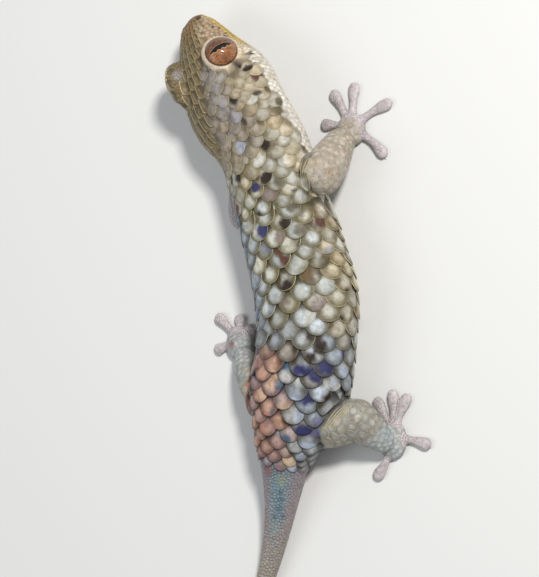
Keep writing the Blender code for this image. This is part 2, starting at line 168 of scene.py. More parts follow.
def turnsOf(count):
    # evenly spaced angles all the way round
    return np.arange(count) * math.tau / count


def unit(vectors):
    return vectors / np.linalg.norm(vectors, axis=-1, keepdims=True)


def smooth(values, start, end):
    share = np.clip((values - start) / (end - start), 0, 1)
    return share * share * (3 - 2 * share)


def through(knots, rows, at):
    # a smooth curve through the rows at the knots, read at the given places
    at = np.atleast_1d(np.asarray(at, float))
    slopes = np.gradient(rows, knots, axis=0)
    i = np.clip(np.searchsorted(knots, at, side="right") - 1, 0, len(knots) - 2)
    span = (knots[i + 1] - knots[i])[:, None]
    t = (at - knots[i])[:, None] / span
    start = (1 + 2 * t) * (1 - t) ** 2 * rows[i] + t * (1 - t) ** 2 * span * slopes[i]
    end = t**2 * (3 - 2 * t) * rows[i + 1] + t**2 * (t - 1) * span * slopes[i + 1]
    return start + end


def sectionAxes(forward, roll):
    level = unit(np.cross(forward, (0, 0, 1)))
    upright = np.cross(level, forward)
    side = level * math.cos(roll) + upright * math.sin(roll)
    return side, upright * math.cos(roll) - level * math.sin(roll)


headForm = {
    "tip": (-9.2, 36.8, 6.0),
    "yaw": 26.5,
    "pitch": -3,
    "roll": 20,
    # behind the tip, aside, half width, heights of the widest place, the top and the bottom
    "sections": (
        (0.0, 0.0, 0.9, -0.7, -0.1, -1.3),
        (0.4, 0.0, 1.8, -0.8, 0.4, -1.7),
        (1.4, 0.0, 2.8, -1.0, 1.2, -2.1),
        (3.2, 0.0, 3.8, -1.3, 2.1, -2.6),
        (5.4, 0.0, 4.9, -1.6, 2.8, -3.1),
        (7.8, 0.3, 6.1, -1.8, 3.2, -4.0),
        (10.2, 0.6, 7.3, -1.6, 3.5, -4.9),
        (12.6, 0.8, 7.8, -1.3, 3.7, -5.3),
        (15.0, 1.05, 7.75, -0.9, 3.8, -5.3),
    ),
}
trunkForm = {
    "squareness": 2.25,
    # place of the axis, roll, half width, reach over and under the axis
    "sections": (
        (2.3, 18.6, 6.3, 12, 6.7, 4.1, 5.0),
        (4.4, 12.1, 5.7, 4, 6.2, 4.7, 5.7),
        (6.55, 5.3, 5.3, 0, 6.4, 4.9, 5.6),
        (8.35, -1.6, 5.2, 0, 6.7, 5.0, 5.7),
        (8.25, -8.0, 5.1, 0, 6.4, 4.9, 5.6),
        (7.1, -14.0, 4.9, 0, 6.5, 4.6, 5.4),
        (5.7, -19.4, 4.2, 0, 5.1, 4.0, 4.7),
        (4.15, -23.4, 3.4, 0, 3.35, 3.2, 3.8),
        (3.4, -27.5, 2.7, 0, 2.42, 2.5, 3.0),
        (2.15, -33.0, 1.95, 0, 1.7, 1.8, 2.2),
        (0.1, -39.6, 1.3, 0, 1.2, 1.25, 1.5),
        (-3.0, -47.0, 0.95, 0, 0.9, 0.9, 1.1),
        (-7.6, -54.0, 0.75, 0, 0.7, 0.7, 0.9),
        (-13.0, -59.5, 0.55, 0, 0.5, 0.5, 0.65),
        (-19.0, -63.0, 0.35, 0, 0.33, 0.33, 0.45),
    ),
}
yaw, pitch = math.radians(headForm["yaw"]), math.radians(headForm["pitch"])
headForward = np.array(
    (-math.sin(yaw) * math.cos(pitch), math.cos(yaw) * math.cos(pitch), math.sin(pitch))
)
headSide, headUp = sectionAxes(headForward, math.radians(headForm["roll"]))
snoutTip = np.array(headForm["tip"])


def onHead(back, out, up):
    return snoutTip - headForward * back + headSide * out + headUp * up


def headPlace(points):
    # distance behind the snout tip, out to the right, and up
    fromTip = points - snoutTip
    return -fromTip @ headForward, fromTip @ headSide, fromTip @ headUp


def spineSections():
    rows = []
    for back, aside, halfWidth, widest, top, bottom in headForm["sections"]:
        centre = onHead(back, aside, widest)
        rows.append((*centre, *headSide, *headUp, halfWidth, top - widest, widest - bottom))
    axis = np.array([section[:3] for section in trunkForm["sections"]])
    for section, tangent in zip(trunkForm["sections"], np.gradient(axis, axis=0)):
        side, up = sectionAxes(unit(-tangent), math.radians(section[3]))
        rows.append((*section[:3], *side, *up, *section[4:]))
    return np.array(rows)


spine = spineSections()
spineKnots = np.concatenate(((0,), np.cumsum(np.linalg.norm(np.diff(spine[:, :3], axis=0), axis=1))))


def bodyPoints(at, angle):
    # the body's surface: distance behind the snout along the spine, angle 0 at the right, 90 the back
    rows = through(spineKnots, spine, at)
    power = 2 / trunkForm["squareness"]
    across = np.sign(np.cos(angle)) * np.abs(np.cos(angle)) ** power * rows[:, 9]
    height = np.sign(np.sin(angle)) * np.abs(np.sin(angle)) ** power
    height = height * np.where(height > 0, rows[:, 10], rows[:, 11])
    points = rows[:, :3] + unit(rows[:, 3:6]) * across[:, None] + unit(rows[:, 6:9]) * height[:, None]
    points[:, 2] = np.maximum(points[:, 2], 0)
    return points


placing = {"stations": 500, "atOnce": 4000}


def bodyPlace(points):
    # distance along the spine, angle round it in degrees, and depth: 1 on the trunk's own surface
    stations = np.linspace(0, spineKnots[-1], placing["stations"])
    rows = through(spineKnots, spine, stations)
    nearest = []
    for some in np.array_split(points, len(points) // placing["atOnce"] + 1):
        nearest.append(np.argmin(((some[:, None] - rows[None, :, :3]) ** 2).sum(axis=2), axis=1))
    nearest = np.concatenate(nearest)
    row = rows[nearest]
    offset = points - row[:, :3]
    across = (offset * unit(row[:, 3:6])).sum(axis=1) / row[:, 9]
    height = (offset * unit(row[:, 6:9])).sum(axis=1)
    height = height / np.where(height > 0, row[:, 10], row[:, 11])
    power = trunkForm["squareness"]
    depth = (np.abs(across) ** power + np.abs(height) ** power) ** (1 / power)
    return stations[nearest], np.degrees(np.arctan2(height, across)), depth


limbs = {
    "foreRight": {
        "joints": ((6.6, 15.9, 5.4), (11.25, 15.2, 6.4), (11.9, 19.4, 2.4)),
        "radii": (2.2, 2.85, 2.1),
        "palm": (12.8, 21.4),
        "palmSize": (2.1, 2.3),
        "toes": (
            (8.2, 22.1, 0.3), (9.8, 26.7, 0.2), (13.2, 27.7, 0.0),
            (18.7, 24.9, -0.4), (17.8, 17.6, -0.5),
        ),
    },
    "foreLeft": {
        "joints": ((1.2, 14.6, 5.4), (-1.4, 9.8, 3.0), (-3.2, 13.4, 1.6)),
        "radii": (2.1, 1.7, 1.3),
        "palm": (-3.7, 15.3),
        "palmSize": (2.0, 2.2),
        "toes": (
            (-3.2, 20.4, 0.2), (-5.1, 20.9, 0.0), (-6.7, 20.0, 0.0),
            (-7.0, 17.6, 0.3), (-4.3, 8.4, 1.6),
        ),
    },
    "hindRight": {
        "joints": ((10.2, -18.2, 4.2), (15.5, -17.4, 4.4), (18.0, -20.2, 2.0)),
        "radii": (3.3, 2.8, 1.7),
        "palm": (18.9, -20.2),
        "palmSize": (2.1, 2.7),
        "toes": (
            (16.3, -14.7, 0.3), (18.8, -13.5, 0.2), (21.2, -14.1, -0.2),
            (24.4, -20.9, -0.4), (16.3, -25.5, -0.4),
        ),
    },
    "hindLeft": {
        "joints": ((2.9, -16.2, 4.3), (0.3, -13.4, 4.6), (-3.0, -9.3, 1.7)),
        "radii": (2.8, 2.1, 1.4),
        "palm": (-4.2, -7.6),
        "palmSize": (2.2, 2.5),
        "toes": (
            (-2.2, -5.3, -0.2), (-4.4, -3.6, 0.0), (-8.1, -3.7, 0.2),
            (-8.2, -8.7, 0.3), (-4.7, -12.2, -0.4),
        ),
    },
}
foot = {"height": 1.7, "centre": 0.55, "reach": 1.6, "toeReach": 0.85}
# share of a toe's length, half width, half thickness
toeStations = np.array(
    (
        (0.1, 0.8, 0.62),
        (0.35, 0.6, 0.56),
        (0.52, 0.52, 0.52),
        (0.68, 0.68, 0.52),
        (0.82, 0.86, 0.5),
        (0.93, 0.82, 0.44),
        (1.0, 0.5, 0.32),
    )
)
toeForm = {"from": 0.1, "stations": 22, "sides": 18, "centre": 0.45}


def toeLine(palm, tip, bend, shares):
    # the middle of a toe over the floor plane, from the palm's middle to the tip
    palm, tip = np.array((*palm, 0.0)), np.array((*tip, 0.0))
    reach = tip - palm
    sideways = unit(np.cross(reach, (0, 0, 1)))
    shares = np.asarray(shares, float)[:, None]
    return palm + reach * shares + sideways * bend * 4 * shares * (1 - shares)


def lofted(rings):
    # points and faces of a closed tube over rings of equal length
    count = len(rings[0])
    points = np.concatenate([np.array(ring) for ring in rings])
    faces = []
    for row in range(len(rings) - 1):
        for i in range(count):
            j = (i - 1) % count
            faces.append((row * count + j, row * count + i, (row + 1) * count + i, (row + 1) * count + j))
    faces.append(tuple(range(count - 1, -1, -1)))
    faces.append(tuple(range(len(points) - count, len(points))))
    return points, faces


def ball(centre, size, axes=np.eye(3), floor=None, sides=28, rows=16):
    turns = turnsOf(sides)
    rings = []
    for lean in np.linspace(-math.pi / 2, math.pi / 2, rows + 2)[1:-1]:
        local = np.column_stack((np.cos(turns), np.sin(turns), np.full(sides, math.tan(lean))))
        ring = np.array(centre) + (local * math.cos(lean) * np.array(size)) @ axes.T
        if floor is not None:
            ring[:, 2] = np.maximum(ring[:, 2], floor)
        rings.append(ring)
    return lofted(rings)


limbForm = {
    "sides": 28,
    "stations": 7,
    "ends": (20, 40, 60, 78),  # degrees round the ends
    "swell": 0.04,  # of the middle, as a share of the length
    "lowest": 0.3,
}


def limbTube(start, end, radii):
    start, end = np.array(start), np.array(end)
    along = unit(end - start)
    side, up = sectionAxes(along, 0)
    swell = limbForm["swell"] * np.linalg.norm(end - start)
    rows = []
    for turn in np.radians(limbForm["ends"][::-1]):
        rows.append((start - along * radii[0] * math.sin(turn), radii[0] * math.cos(turn)))
    for share in np.linspace(0, 1, limbForm["stations"]):
        radius = radii[0] * (1 - share) + radii[1] * share + swell * math.sin(share * math.pi)
        rows.append((start + (end - start) * share, radius))
    for turn in np.radians(limbForm["ends"]):
        rows.append((end + along * radii[1] * math.sin(turn), radii[1] * math.cos(turn)))
    turns = turnsOf(limbForm["sides"])
    rings = []
    for centre, radius in rows:
        ring = centre + radius * (np.outer(np.cos(turns), side) + np.outer(np.sin(turns), up))
        ring[:, 2] = np.maximum(ring[:, 2], limbForm["lowest"])
        rings.append(ring)
    return lofted(rings)


def toeTube(palm, tip, bend):
    shares = np.linspace(toeForm["from"], 1.0, toeForm["stations"])
    sizes = through(toeStations[:, 0], toeStations[:, 1:], shares)
    line = toeLine(palm, tip, bend, shares)
    ahead = unit(np.gradient(line, axis=0))
    rings = []
    for centre, forward, (halfWidth, halfHeight) in zip(line, ahead, sizes):
        side = np.cross(forward, (0, 0, 1))
        turns = (np.arange(toeForm["sides"]) + 0.5) * math.tau / toeForm["sides"]
        ring = centre + np.outer(np.cos(turns) * halfWidth, side)
        ring[:, 2] = np.maximum(toeForm["centre"] + halfHeight * np.sin(turns), 0)
        rings.append(ring)
    return lofted(rings)


eye = {
    "back": {1: 8.05, -1: 7.3},  # right and left
    "out": 4.38,
    "up": 1.35,
    "radius": 2.42,
    "raised": {1: 38, -1: 16},
    "forward": 8,
    "mound": 2.56,
    "brow": {1: 0.22, -1: 0.45},  # how far the rim stands out over the eye, right and left
    "opening": 66,  # degrees from the eye's axis to the edge of its rim
    "near": 4.2,  # how far from its middle the skin belongs to the eye
    # places past the opening, in degrees
    "edge": (-4, 2),
    "bowl": (9, 27),
    "browFrom": (-4, 4),
    "browTo": (18, 60),
    "lipAt": 7,
    "lipWidth": 5,
    "rimPaint": (6, 12),
    # where painted shade lies in the crevice round the eyeball
    "socketShade": (-3, 1),
    # lengths in millimetres
    "bowlSlope": 0.035,
    "lipHeight": 0.06,
    "sunk": 0.2,
    "rimSeat": 2.5,
    "socketShadeReach": 3,
    "behind": (-1.5, 0.0, -0.8),  # middle of the swelling behind the ball
    "behindSize": (3.0, 2.6, 2.2),
}


def eyeAxes(side):
    # the eyeball's middle, and its forward, crosswise and outward directions as columns
    raised, ahead = math.radians(eye["raised"][side]), math.radians(eye["forward"])
    out = headSide * side * math.cos(raised) + headUp * math.sin(raised)
    out = unit(out * math.cos(ahead) + headForward * math.sin(ahead))
    forward = unit(np.cross(np.cross(out, headForward), out))
    centre = onHead(eye["back"][side], side * eye["out"], eye["up"])
    return centre, np.column_stack((forward, np.cross(out, forward), out))


def eyeLean(points, side):
    # degrees away from the way that an eye looks, and distance from the middle of its ball
    centre, axes = eyeAxes(side)
    local = (points - centre) @ axes
    lean = np.degrees(np.arctan2(np.hypot(local[:, 0], local[:, 1]), local[:, 2]))
    return lean, np.linalg.norm(local, axis=1)


def makeMesh(name, points, faces):
    mesh = bpy.data.meshes.new(name)
    mesh.from_pydata([tuple(point) for point in points], [], faces)
    mesh.update()
    return mesh


def makePiece(name, points, faces, finish, slot, attributes=None):
    mesh = makeMesh(name, (points - middle) / 1000, faces)
    for key, values in (attributes or {}).items():
        kind = "FLOAT" if values.ndim == 1 else "FLOAT_COLOR"
        layer = mesh.attributes.new(key, kind, "POINT")
        if values.ndim == 1:
            layer.data.foreach_set("value", values.astype(np.float32))
        else:
            full = np.column_stack((values, np.ones(len(values)))).astype(np.float32)
            layer.data.foreach_set("color", full.ravel())
    mesh.materials.append(finish)
    mesh.shade_smooth()
    piece = addObject(name, mesh)
    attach(piece, "root")
    return piece


skin = {
    "voxel": 0.17,
    "smoothing": 8,
    "sides": 72,
    "ringStep": 0.5,
    "lowest": 0.03,  # clear of the floor
}


def skinForms():
    shapes = []
    turns = turnsOf(skin["sides"])
    places = np.linspace(0, spineKnots[-1], int(spineKnots[-1] / skin["ringStep"]))
    shapes.append(lofted([bodyPoints(np.full(len(turns), at), turns) for at in places]))
    for side in (1, -1):
        centre, axes = eyeAxes(side)
        shapes.append(ball(centre, (eye["mound"],) * 3, axes))
        shapes.append(ball(centre + axes @ np.array(eye["behind"]), eye["behindSize"], axes))
    for limb in limbs.values():
        root, bend, end = limb["joints"]
        radii = limb["radii"]
        shapes.append(limbTube(root, bend, radii[:2]))
        shapes.append(limbTube(bend, end, radii[1:]))
        palmSize = (*limb["palmSize"], foot["height"] - foot["centre"])
        shapes.append(ball((*limb["palm"], foot["centre"]), palmSize, floor=0.0))
        for x, y, sideways in limb["toes"]:
            shapes.append(toeTube(limb["palm"], (x, y), sideways))
    return shapes


def joined(shapes):
    # the points and faces of several shapes as one
    points, faces, count = [], [], 0
    for somePoints, someFaces in shapes:
        points.append(somePoints)
        faces += [tuple(index + count for index in face) for face in someFaces]
        count += len(somePoints)
    return np.concatenate(points), faces


def fuse(shapes):
    # joins closed shapes into one smooth skin, and returns its points and four-sided faces
    form = addObject("skinForm", makeMesh("skinForm", *joined(shapes)))
    remesh = form.modifiers.new("fuse", "REMESH")
    remesh.mode = "VOXEL"
    remesh.voxel_size = skin["voxel"]
    soften = form.modifiers.new("soften", "SMOOTH")
    soften.factor = 0.5
    soften.iterations = skin["smoothing"]
    graph = bpy.context.evaluated_depsgraph_get()
    mesh = bpy.data.meshes.new_from_object(form.evaluated_get(graph))
    points = np.empty(len(mesh.vertices) * 3, np.float32)
    mesh.vertices.foreach_get("co", points)
    corners = np.empty(len(mesh.loops), np.int32)
    mesh.loops.foreach_get("vertex_index", corners)
    bpy.data.objects.remove(form, do_unlink=True)
    bpy.data.meshes.remove(mesh)
    return points.reshape(-1, 3).astype(float), corners.reshape(-1, 4)


def pointNormals(points, faces):
    corners = points[faces]
    across = np.cross(corners[:, 2] - corners[:, 0], corners[:, 3] - corners[:, 1])
    total = np.zeros_like(points)
    for i in range(4):
        np.add.at(total, faces[:, i], across)
    return unit(total + 1e-12)


mouth = {
    "corner": 10.4,
    "faceEnd": 19,
    "cornerSoft": (-0.8, 0.3),
    "front": -1.0,
    "rear": -2.1,
    "depth": 0.3,
    "width": 0.15,
    "lip": 0.1,  # how far the lips swell, at what distance from the slit and over what width
    "lipAt": 0.55,
    "lipWidth": 0.3,
}
nostril = {
    "back": 0.9,
    "out": 1.9,
    "up": 0.2,
    "size": 0.3,
    "depth": 0.32,
    "rim": 0.1,
    "rimAt": 0.6,
    "rimWidth": 0.25,
}
ear = {
    "at": 19.0,
    "raised": 6,
    "long": 0.4,
    "tall": 0.7,
    "depth": 0.6,
    "edge": (0.6, 1.15),
    "rim": 0.1,
    "rimAt": 1.5,
    "rimWidth": 0.35,
    "near": 2.5,
}


def hump(values, centre, width):
    # 1 at the centre, falling away smoothly over the width on both sides
    return np.exp(-(((values - centre) / width) ** 2))


def mouthLevel(back):
    return mouth["front"] + (mouth["rear"] - mouth["front"]) * back / mouth["corner"]


def earPoint(side):
    raised = math.radians(ear["raised"])
    return bodyPoints(ear["at"], raised if side == 1 else math.pi - raised)[0]


def carveHead(points, normals):
    points = points.copy()
    back, _, up = headPlace(points)
    onFace = (back > -1) & (back < mouth["faceEnd"])
    offSlit = up - mouthLevel(back)
    shut = 1 - smooth(back - mouth["corner"], *mouth["cornerSoft"])
    groove = mouth["depth"] * hump(offSlit, 0, mouth["width"])
    lips = mouth["lip"] * hump(np.abs(offSlit), mouth["lipAt"], mouth["lipWidth"])
    sink = (groove - lips) * shut * onFace
    for side in (1, -1):
        hole = onHead(nostril["back"], side * nostril["out"], nostril["up"])
        away = np.linalg.norm(points - hole, axis=1)
        sink = sink + nostril["depth"] * hump(away, 0, nostril["size"])
        sink = sink - nostril["rim"] * hump(away, nostril["rimAt"], nostril["rimWidth"])
        offset = points - earPoint(side)
        reach = np.hypot(offset @ headForward / ear["long"], offset @ headUp / ear["tall"])
        near = (np.abs(offset @ headSide) < ear["near"]).astype(float)
        sink = sink + ear["depth"] * near * (1 - smooth(reach, *ear["edge"]))
        sink = sink - ear["rim"] * near * hump(reach, ear["rimAt"], ear["rimWidth"])
    points -= normals * sink[:, None]
    for side in (1, -1):
        centre, axes = eyeAxes(side)
        local = (points - centre) @ axes
        lean, reach = eyeLean(points, side)
        past = lean - eye["opening"]
        close = (reach < eye["near"]).astype(float)
        share = (1 - smooth(past, *eye["edge"])) * close
        bowl = np.minimum(reach, eye["mound"] + eye["bowlSlope"] * np.maximum(past, 0))
        target = reach + (bowl - reach) * close * (1 - smooth(past, *eye["bowl"]))
        target = target + (eye["radius"] - eye["sunk"] - target) * share
        target = target + eye["lipHeight"] * close * hump(past, eye["lipAt"], eye["lipWidth"])
        overhead = (headUp + headForward * 0.2) @ axes[:, :2]
        facing = local[:, :2] @ unit(overhead) / np.hypot(local[:, 0], local[:, 1])
        ridge = smooth(past, *eye["browFrom"]) * (1 - smooth(past, *eye["browTo"]))
        target = target + eye["brow"][side] * close * smooth(facing, -0.5, 0.6) * ridge
        points = centre + (local * (target / np.maximum(reach, 1e-6))[:, None]) @ axes.T
    points[:, 2] = np.maximum(points[:, 2], skin["lowest"])
    return points


skinPoints, skinFaces = fuse(skinForms())
skinPoints = carveHead(skinPoints, pointNormals(skinPoints, skinFaces))
skinNormals = pointNormals(skinPoints, skinFaces)
skinTree = BVHTree.FromPolygons(skinPoints.tolist(), skinFaces.tolist())
print("skin formed:", len(skinFaces), "faces")


def limbLines():
    # lengths and toes as lines: limb, start, end, and where they lie from root (0) to toe tip (4)
    lines = []
    for index, limb in enumerate(limbs.values()):
        root, bend, end = (np.array(joint) for joint in limb["joints"])
        palm = np.array((*limb["palm"], foot["centre"]))
        radii = limb["radii"]
        lines.append((index, root, bend, 0.0, 1.0, (radii[0] + radii[1]) / 2))
        lines.append((index, bend, end, 1.0, 2.0, (radii[1] + radii[2]) / 2))
        lines.append((index, end, palm, 2.0, 3.0, foot["reach"]))
        for x, y, sideways in limb["toes"]:
            stops = toeLine(limb["palm"], (x, y), sideways, (0.1, 0.4, 0.7, 1.0))
            stops[:, 2] = toeForm["centre"]
            for i in range(3):
                first, last = 3.0 + i / 3, 3.0 + (i + 1) / 3
                lines.append((index, stops[i], stops[i + 1], first, last, foot["toeReach"]))
    return lines


def limbPlace(points):
    # which limb is nearest, how far along it from 0 to 4, its direction there, and depth, 1 at its skin
    best = np.full(len(points), 1e9)
    which = np.zeros(len(points), int)
    along = np.zeros(len(points))
    heading = np.zeros((len(points), 3))
    for index, start, end, first, last, radius in limbLines():
        line = end - start
        share = np.clip(((points - start) @ line) / (line @ line), 0, 1)
        away = np.linalg.norm(points - start - share[:, None] * line, axis=1) / radius
        closer = away < best
        best = np.where(closer, away, best)
        which = np.where(closer, index, which)
        along = np.where(closer, first + (last - first) * share, along)
        heading[closer] = unit(line)
    return which, along, heading, best


# What grows where on the skin, worked out once.
skinAt, _, skinDepth = bodyPlace(skinPoints)
_, skinAlong, _, _ = limbPlace(skinPoints)

regions = {  # colour of a scale's pale dome, and of the margin round it
    "back": ((200, 204, 199), (108, 101, 76)),
    "flank": ((200, 193, 174), (126, 114, 88)),
    # steel-blue scales of the left flank, painted darker as shade on the side turned from the light
    "farSide": ((140, 154, 174), (84, 94, 110)),
    "rump": ((182, 187, 192), (96, 96, 94)),
    "pink": ((192, 158, 144), (128, 98, 92)),
    "neck": ((178, 171, 154), (148, 138, 114)),
    "nape": ((158, 150, 142), (140, 130, 116)),
    "crown": ((134, 119, 88), (116, 101, 72)),
    "snout": ((140, 112, 74), (112, 85, 52)),
    "loreal": ((180, 160, 136), (158, 136, 110)),
    "cheek": ((206, 197, 176), (172, 158, 132)),
    "temple": ((180, 170, 150), (146, 134, 108)),
    "lip": ((204, 180, 98), (178, 152, 80)),
    "throat": ((226, 222, 213), (204, 198, 188)),
    "belly": ((206, 202, 188), (170, 164, 146)),
    "arm": ((186, 178, 165), (168, 158, 144)),
    "leg": ((170, 168, 160), (146, 142, 131)),
    "shin": ((184, 187, 187), (158, 161, 161)),
    "toe": ((203, 194, 196), (192, 183, 185)),
    "tailBase": ((164, 150, 153), (148, 134, 138)),
    "tailTop": ((136, 154, 158), (116, 136, 144)),
    "tailEnd": ((172, 164, 152), (150, 142, 132)),
    "eyeRim": ((224, 213, 192), (190, 172, 148)),
    # painted shade in the crevice round each eyeball
    "socket": ((46, 30, 22), (38, 24, 18)),
}
paints = {name: np.array([linear(*colour) for colour in pair]) for name, pair in regions.items()}


def over(colours, name, share):
    # lays a region's pair of colours over the pairs that are there, by a share for each point
    return colours + (paints[name] - colours) * np.clip(share, 0, 1)[:, None, None]


wandering = {"waves": 7, "pace": 2.2, "height": 3.2}


def wander(points, size, seed):
    # a smooth random value between about -1 and 1 that changes over the given length
    draw = np.random.default_rng(seed)
    count = wandering["waves"]
    waves = draw.normal(size=(count, 3)) / size * wandering["pace"]
    return np.sin(points @ waves.T + draw.uniform(0, math.tau, count)).sum(axis=1) / wandering["height"]


def pixelOf(points):
    # where points would show in the photo, in pixels across and down
    away = view["distance"] - points @ np.array(towardsCamera)
    nearer = view["distance"] / away * view["pixelsPerMm"]
    across = view["frameWidth"] / 2 + points @ np.array(cameraRight) * nearer
    return across, view["frameHeight"] / 2 - points[:, 1] * nearer


crown = {
    # places down and across the photo
    "edge": ((30, 52, 64, 82, 107, 132, 150, 172), (204, 201, 201, 203, 208, 213, 222, 226)),
    "soft": 5,
    "front": 1.0,
    "rear": 23,
    "angles": (35, 165),
    "columns": 27,
    "rowStep": 1.45,
}


def crownShare(points, soft=crown["soft"]):
    # where the head's scales stand in lengthwise lines: left of an edge that the photo shows
    at, angle, _ = bodyPlace(points)
    across, down = pixelOf(points)
    inside = smooth(np.interp(down, *crown["edge"]) - across, -soft, soft)
    return inside * (at < crown["rear"]) * (angle > crown["angles"][0]) * (angle < crown["angles"][1])


zones = (  # laid over each other in turn: region, strength, and edges of the values that it is bound to
    ("flank", 0.9, ("angle", 58, 22)),
    ("rump", 1, ("at", 42, 49)),
    ("neck", 1, ("at", 30, 19)),
    ("farSide", 1, ("angle", 118, 150), ("at", 24, 30)),
    ("pink", 1, ("pastPinkEdge", -12, 12), ("at", 47, 49.5), ("at", 66, 64.5)),
    ("temple", 1, ("at", 8, 11), ("at", 24, 17)),
    ("nape", 1, ("at", 8, 11), ("at", 25, 18), ("angle", 48, 66)),
    ("crown", 1, ("at", 9, 7), ("angle", 50, 70)),
    ("crown", 1, ("lined",)),
    ("snout", 1, ("back", 5, 1.5), ("angle", 40, 70)),
    ("loreal", 1, ("nearSide",), ("back", 9, 6), ("angle", 70, 45), ("back", 0.8, 2)),
    ("cheek", 1, ("rightSide",), ("back", 4.5, 7), ("back", 15, 12), ("up", 1.8, -0.2)),
    ("lip", 1, ("back", 8.5, 6), ("offLip", 0.75, 0.4)),
    ("throat", 1, ("throat",)),
    ("belly", 1, ("height", -0.3, -0.7), ("at", 28, 36)),
    ("tailBase", 1, ("tail", 63.5, 65.5)),
    ("tailTop", 1.2, ("tail", 63.5, 65.5), ("tailMiddle",), ("at", 80, 72)),
    ("tailEnd", 1, ("at", 70, 82)),
    ("arm", 1, ("limb",), ("fore",)),
    ("leg", 1, ("limb",), ("hind",)),
    ("shin", 1, ("limb",), ("hind",), ("along", 0.9, 1.8)),
    ("toe", 1, ("limb",), ("along", 2.9, 3.25)),
)
pinkEdge = {"angle": 102, "turn": 2.4, "from": 48, "to": 66, "wander": 6}  # on the rump's left side


def paint(points):
    # the pair of colours anywhere on the animal, for its skin and its scales alike
    at, angle, depth = bodyPlace(points)
    which, along, _, near = limbPlace(points)
    back, out, up = headPlace(points)
    height = np.sin(np.radians(angle))
    alongPink = np.clip(at, pinkEdge["from"], pinkEdge["to"]) - pinkEdge["from"]
    edge = pinkEdge["angle"] - pinkEdge["turn"] * alongPink
    jowl = smooth(back, 7, 10) * smooth(at, 33, 29) * smooth(height, 0.36, 0.1)
    values = {
        "at": at,
        "angle": angle,
        "back": back,
        "up": up,
        "height": height,
        "along": along,
        "pastPinkEdge": angle - edge - wander(points, 4, 3) * pinkEdge["wander"],
        "lined": crownShare(points),
        "nearSide": out > -0.5,
        "rightSide": out > 0,
        "offLip": np.abs(up - mouthLevel(back) - 0.1),
        "throat": np.maximum(jowl, smooth(height, -0.2, -0.5) * (at < 30)),
        "tail": at + wander(points, 2, 9) * 0.5,
        "tailMiddle": hump(angle, 74, 34),
        "limb": smooth(depth, 1.03, 1.2) * smooth(near, 2.1, 1.7) * (at > 17),
        "fore": which < 2,
        "hind": which > 1,
    }
    colours = np.tile(paints["back"], (len(points), 1, 1))
    for name, share, *bounds in zones:
        for value, *edges in bounds:
            share = share * (smooth(values[value], *edges) if edges else values[value])
        colours = over(colours, name, share)
    for side in (1, -1):
        lean, reach = eyeLean(points, side)
        past = lean - eye["opening"]
        colours = over(colours, "eyeRim", (1 - smooth(past, *eye["rimPaint"])) * (reach < eye["near"]))
        # painted shade: dark skin in the crevice round the eyeball
        inside = (1 - smooth(past, *eye["socketShade"])) * (reach < eye["socketShadeReach"])
        colours = over(colours, "socket", inside)
    return colours


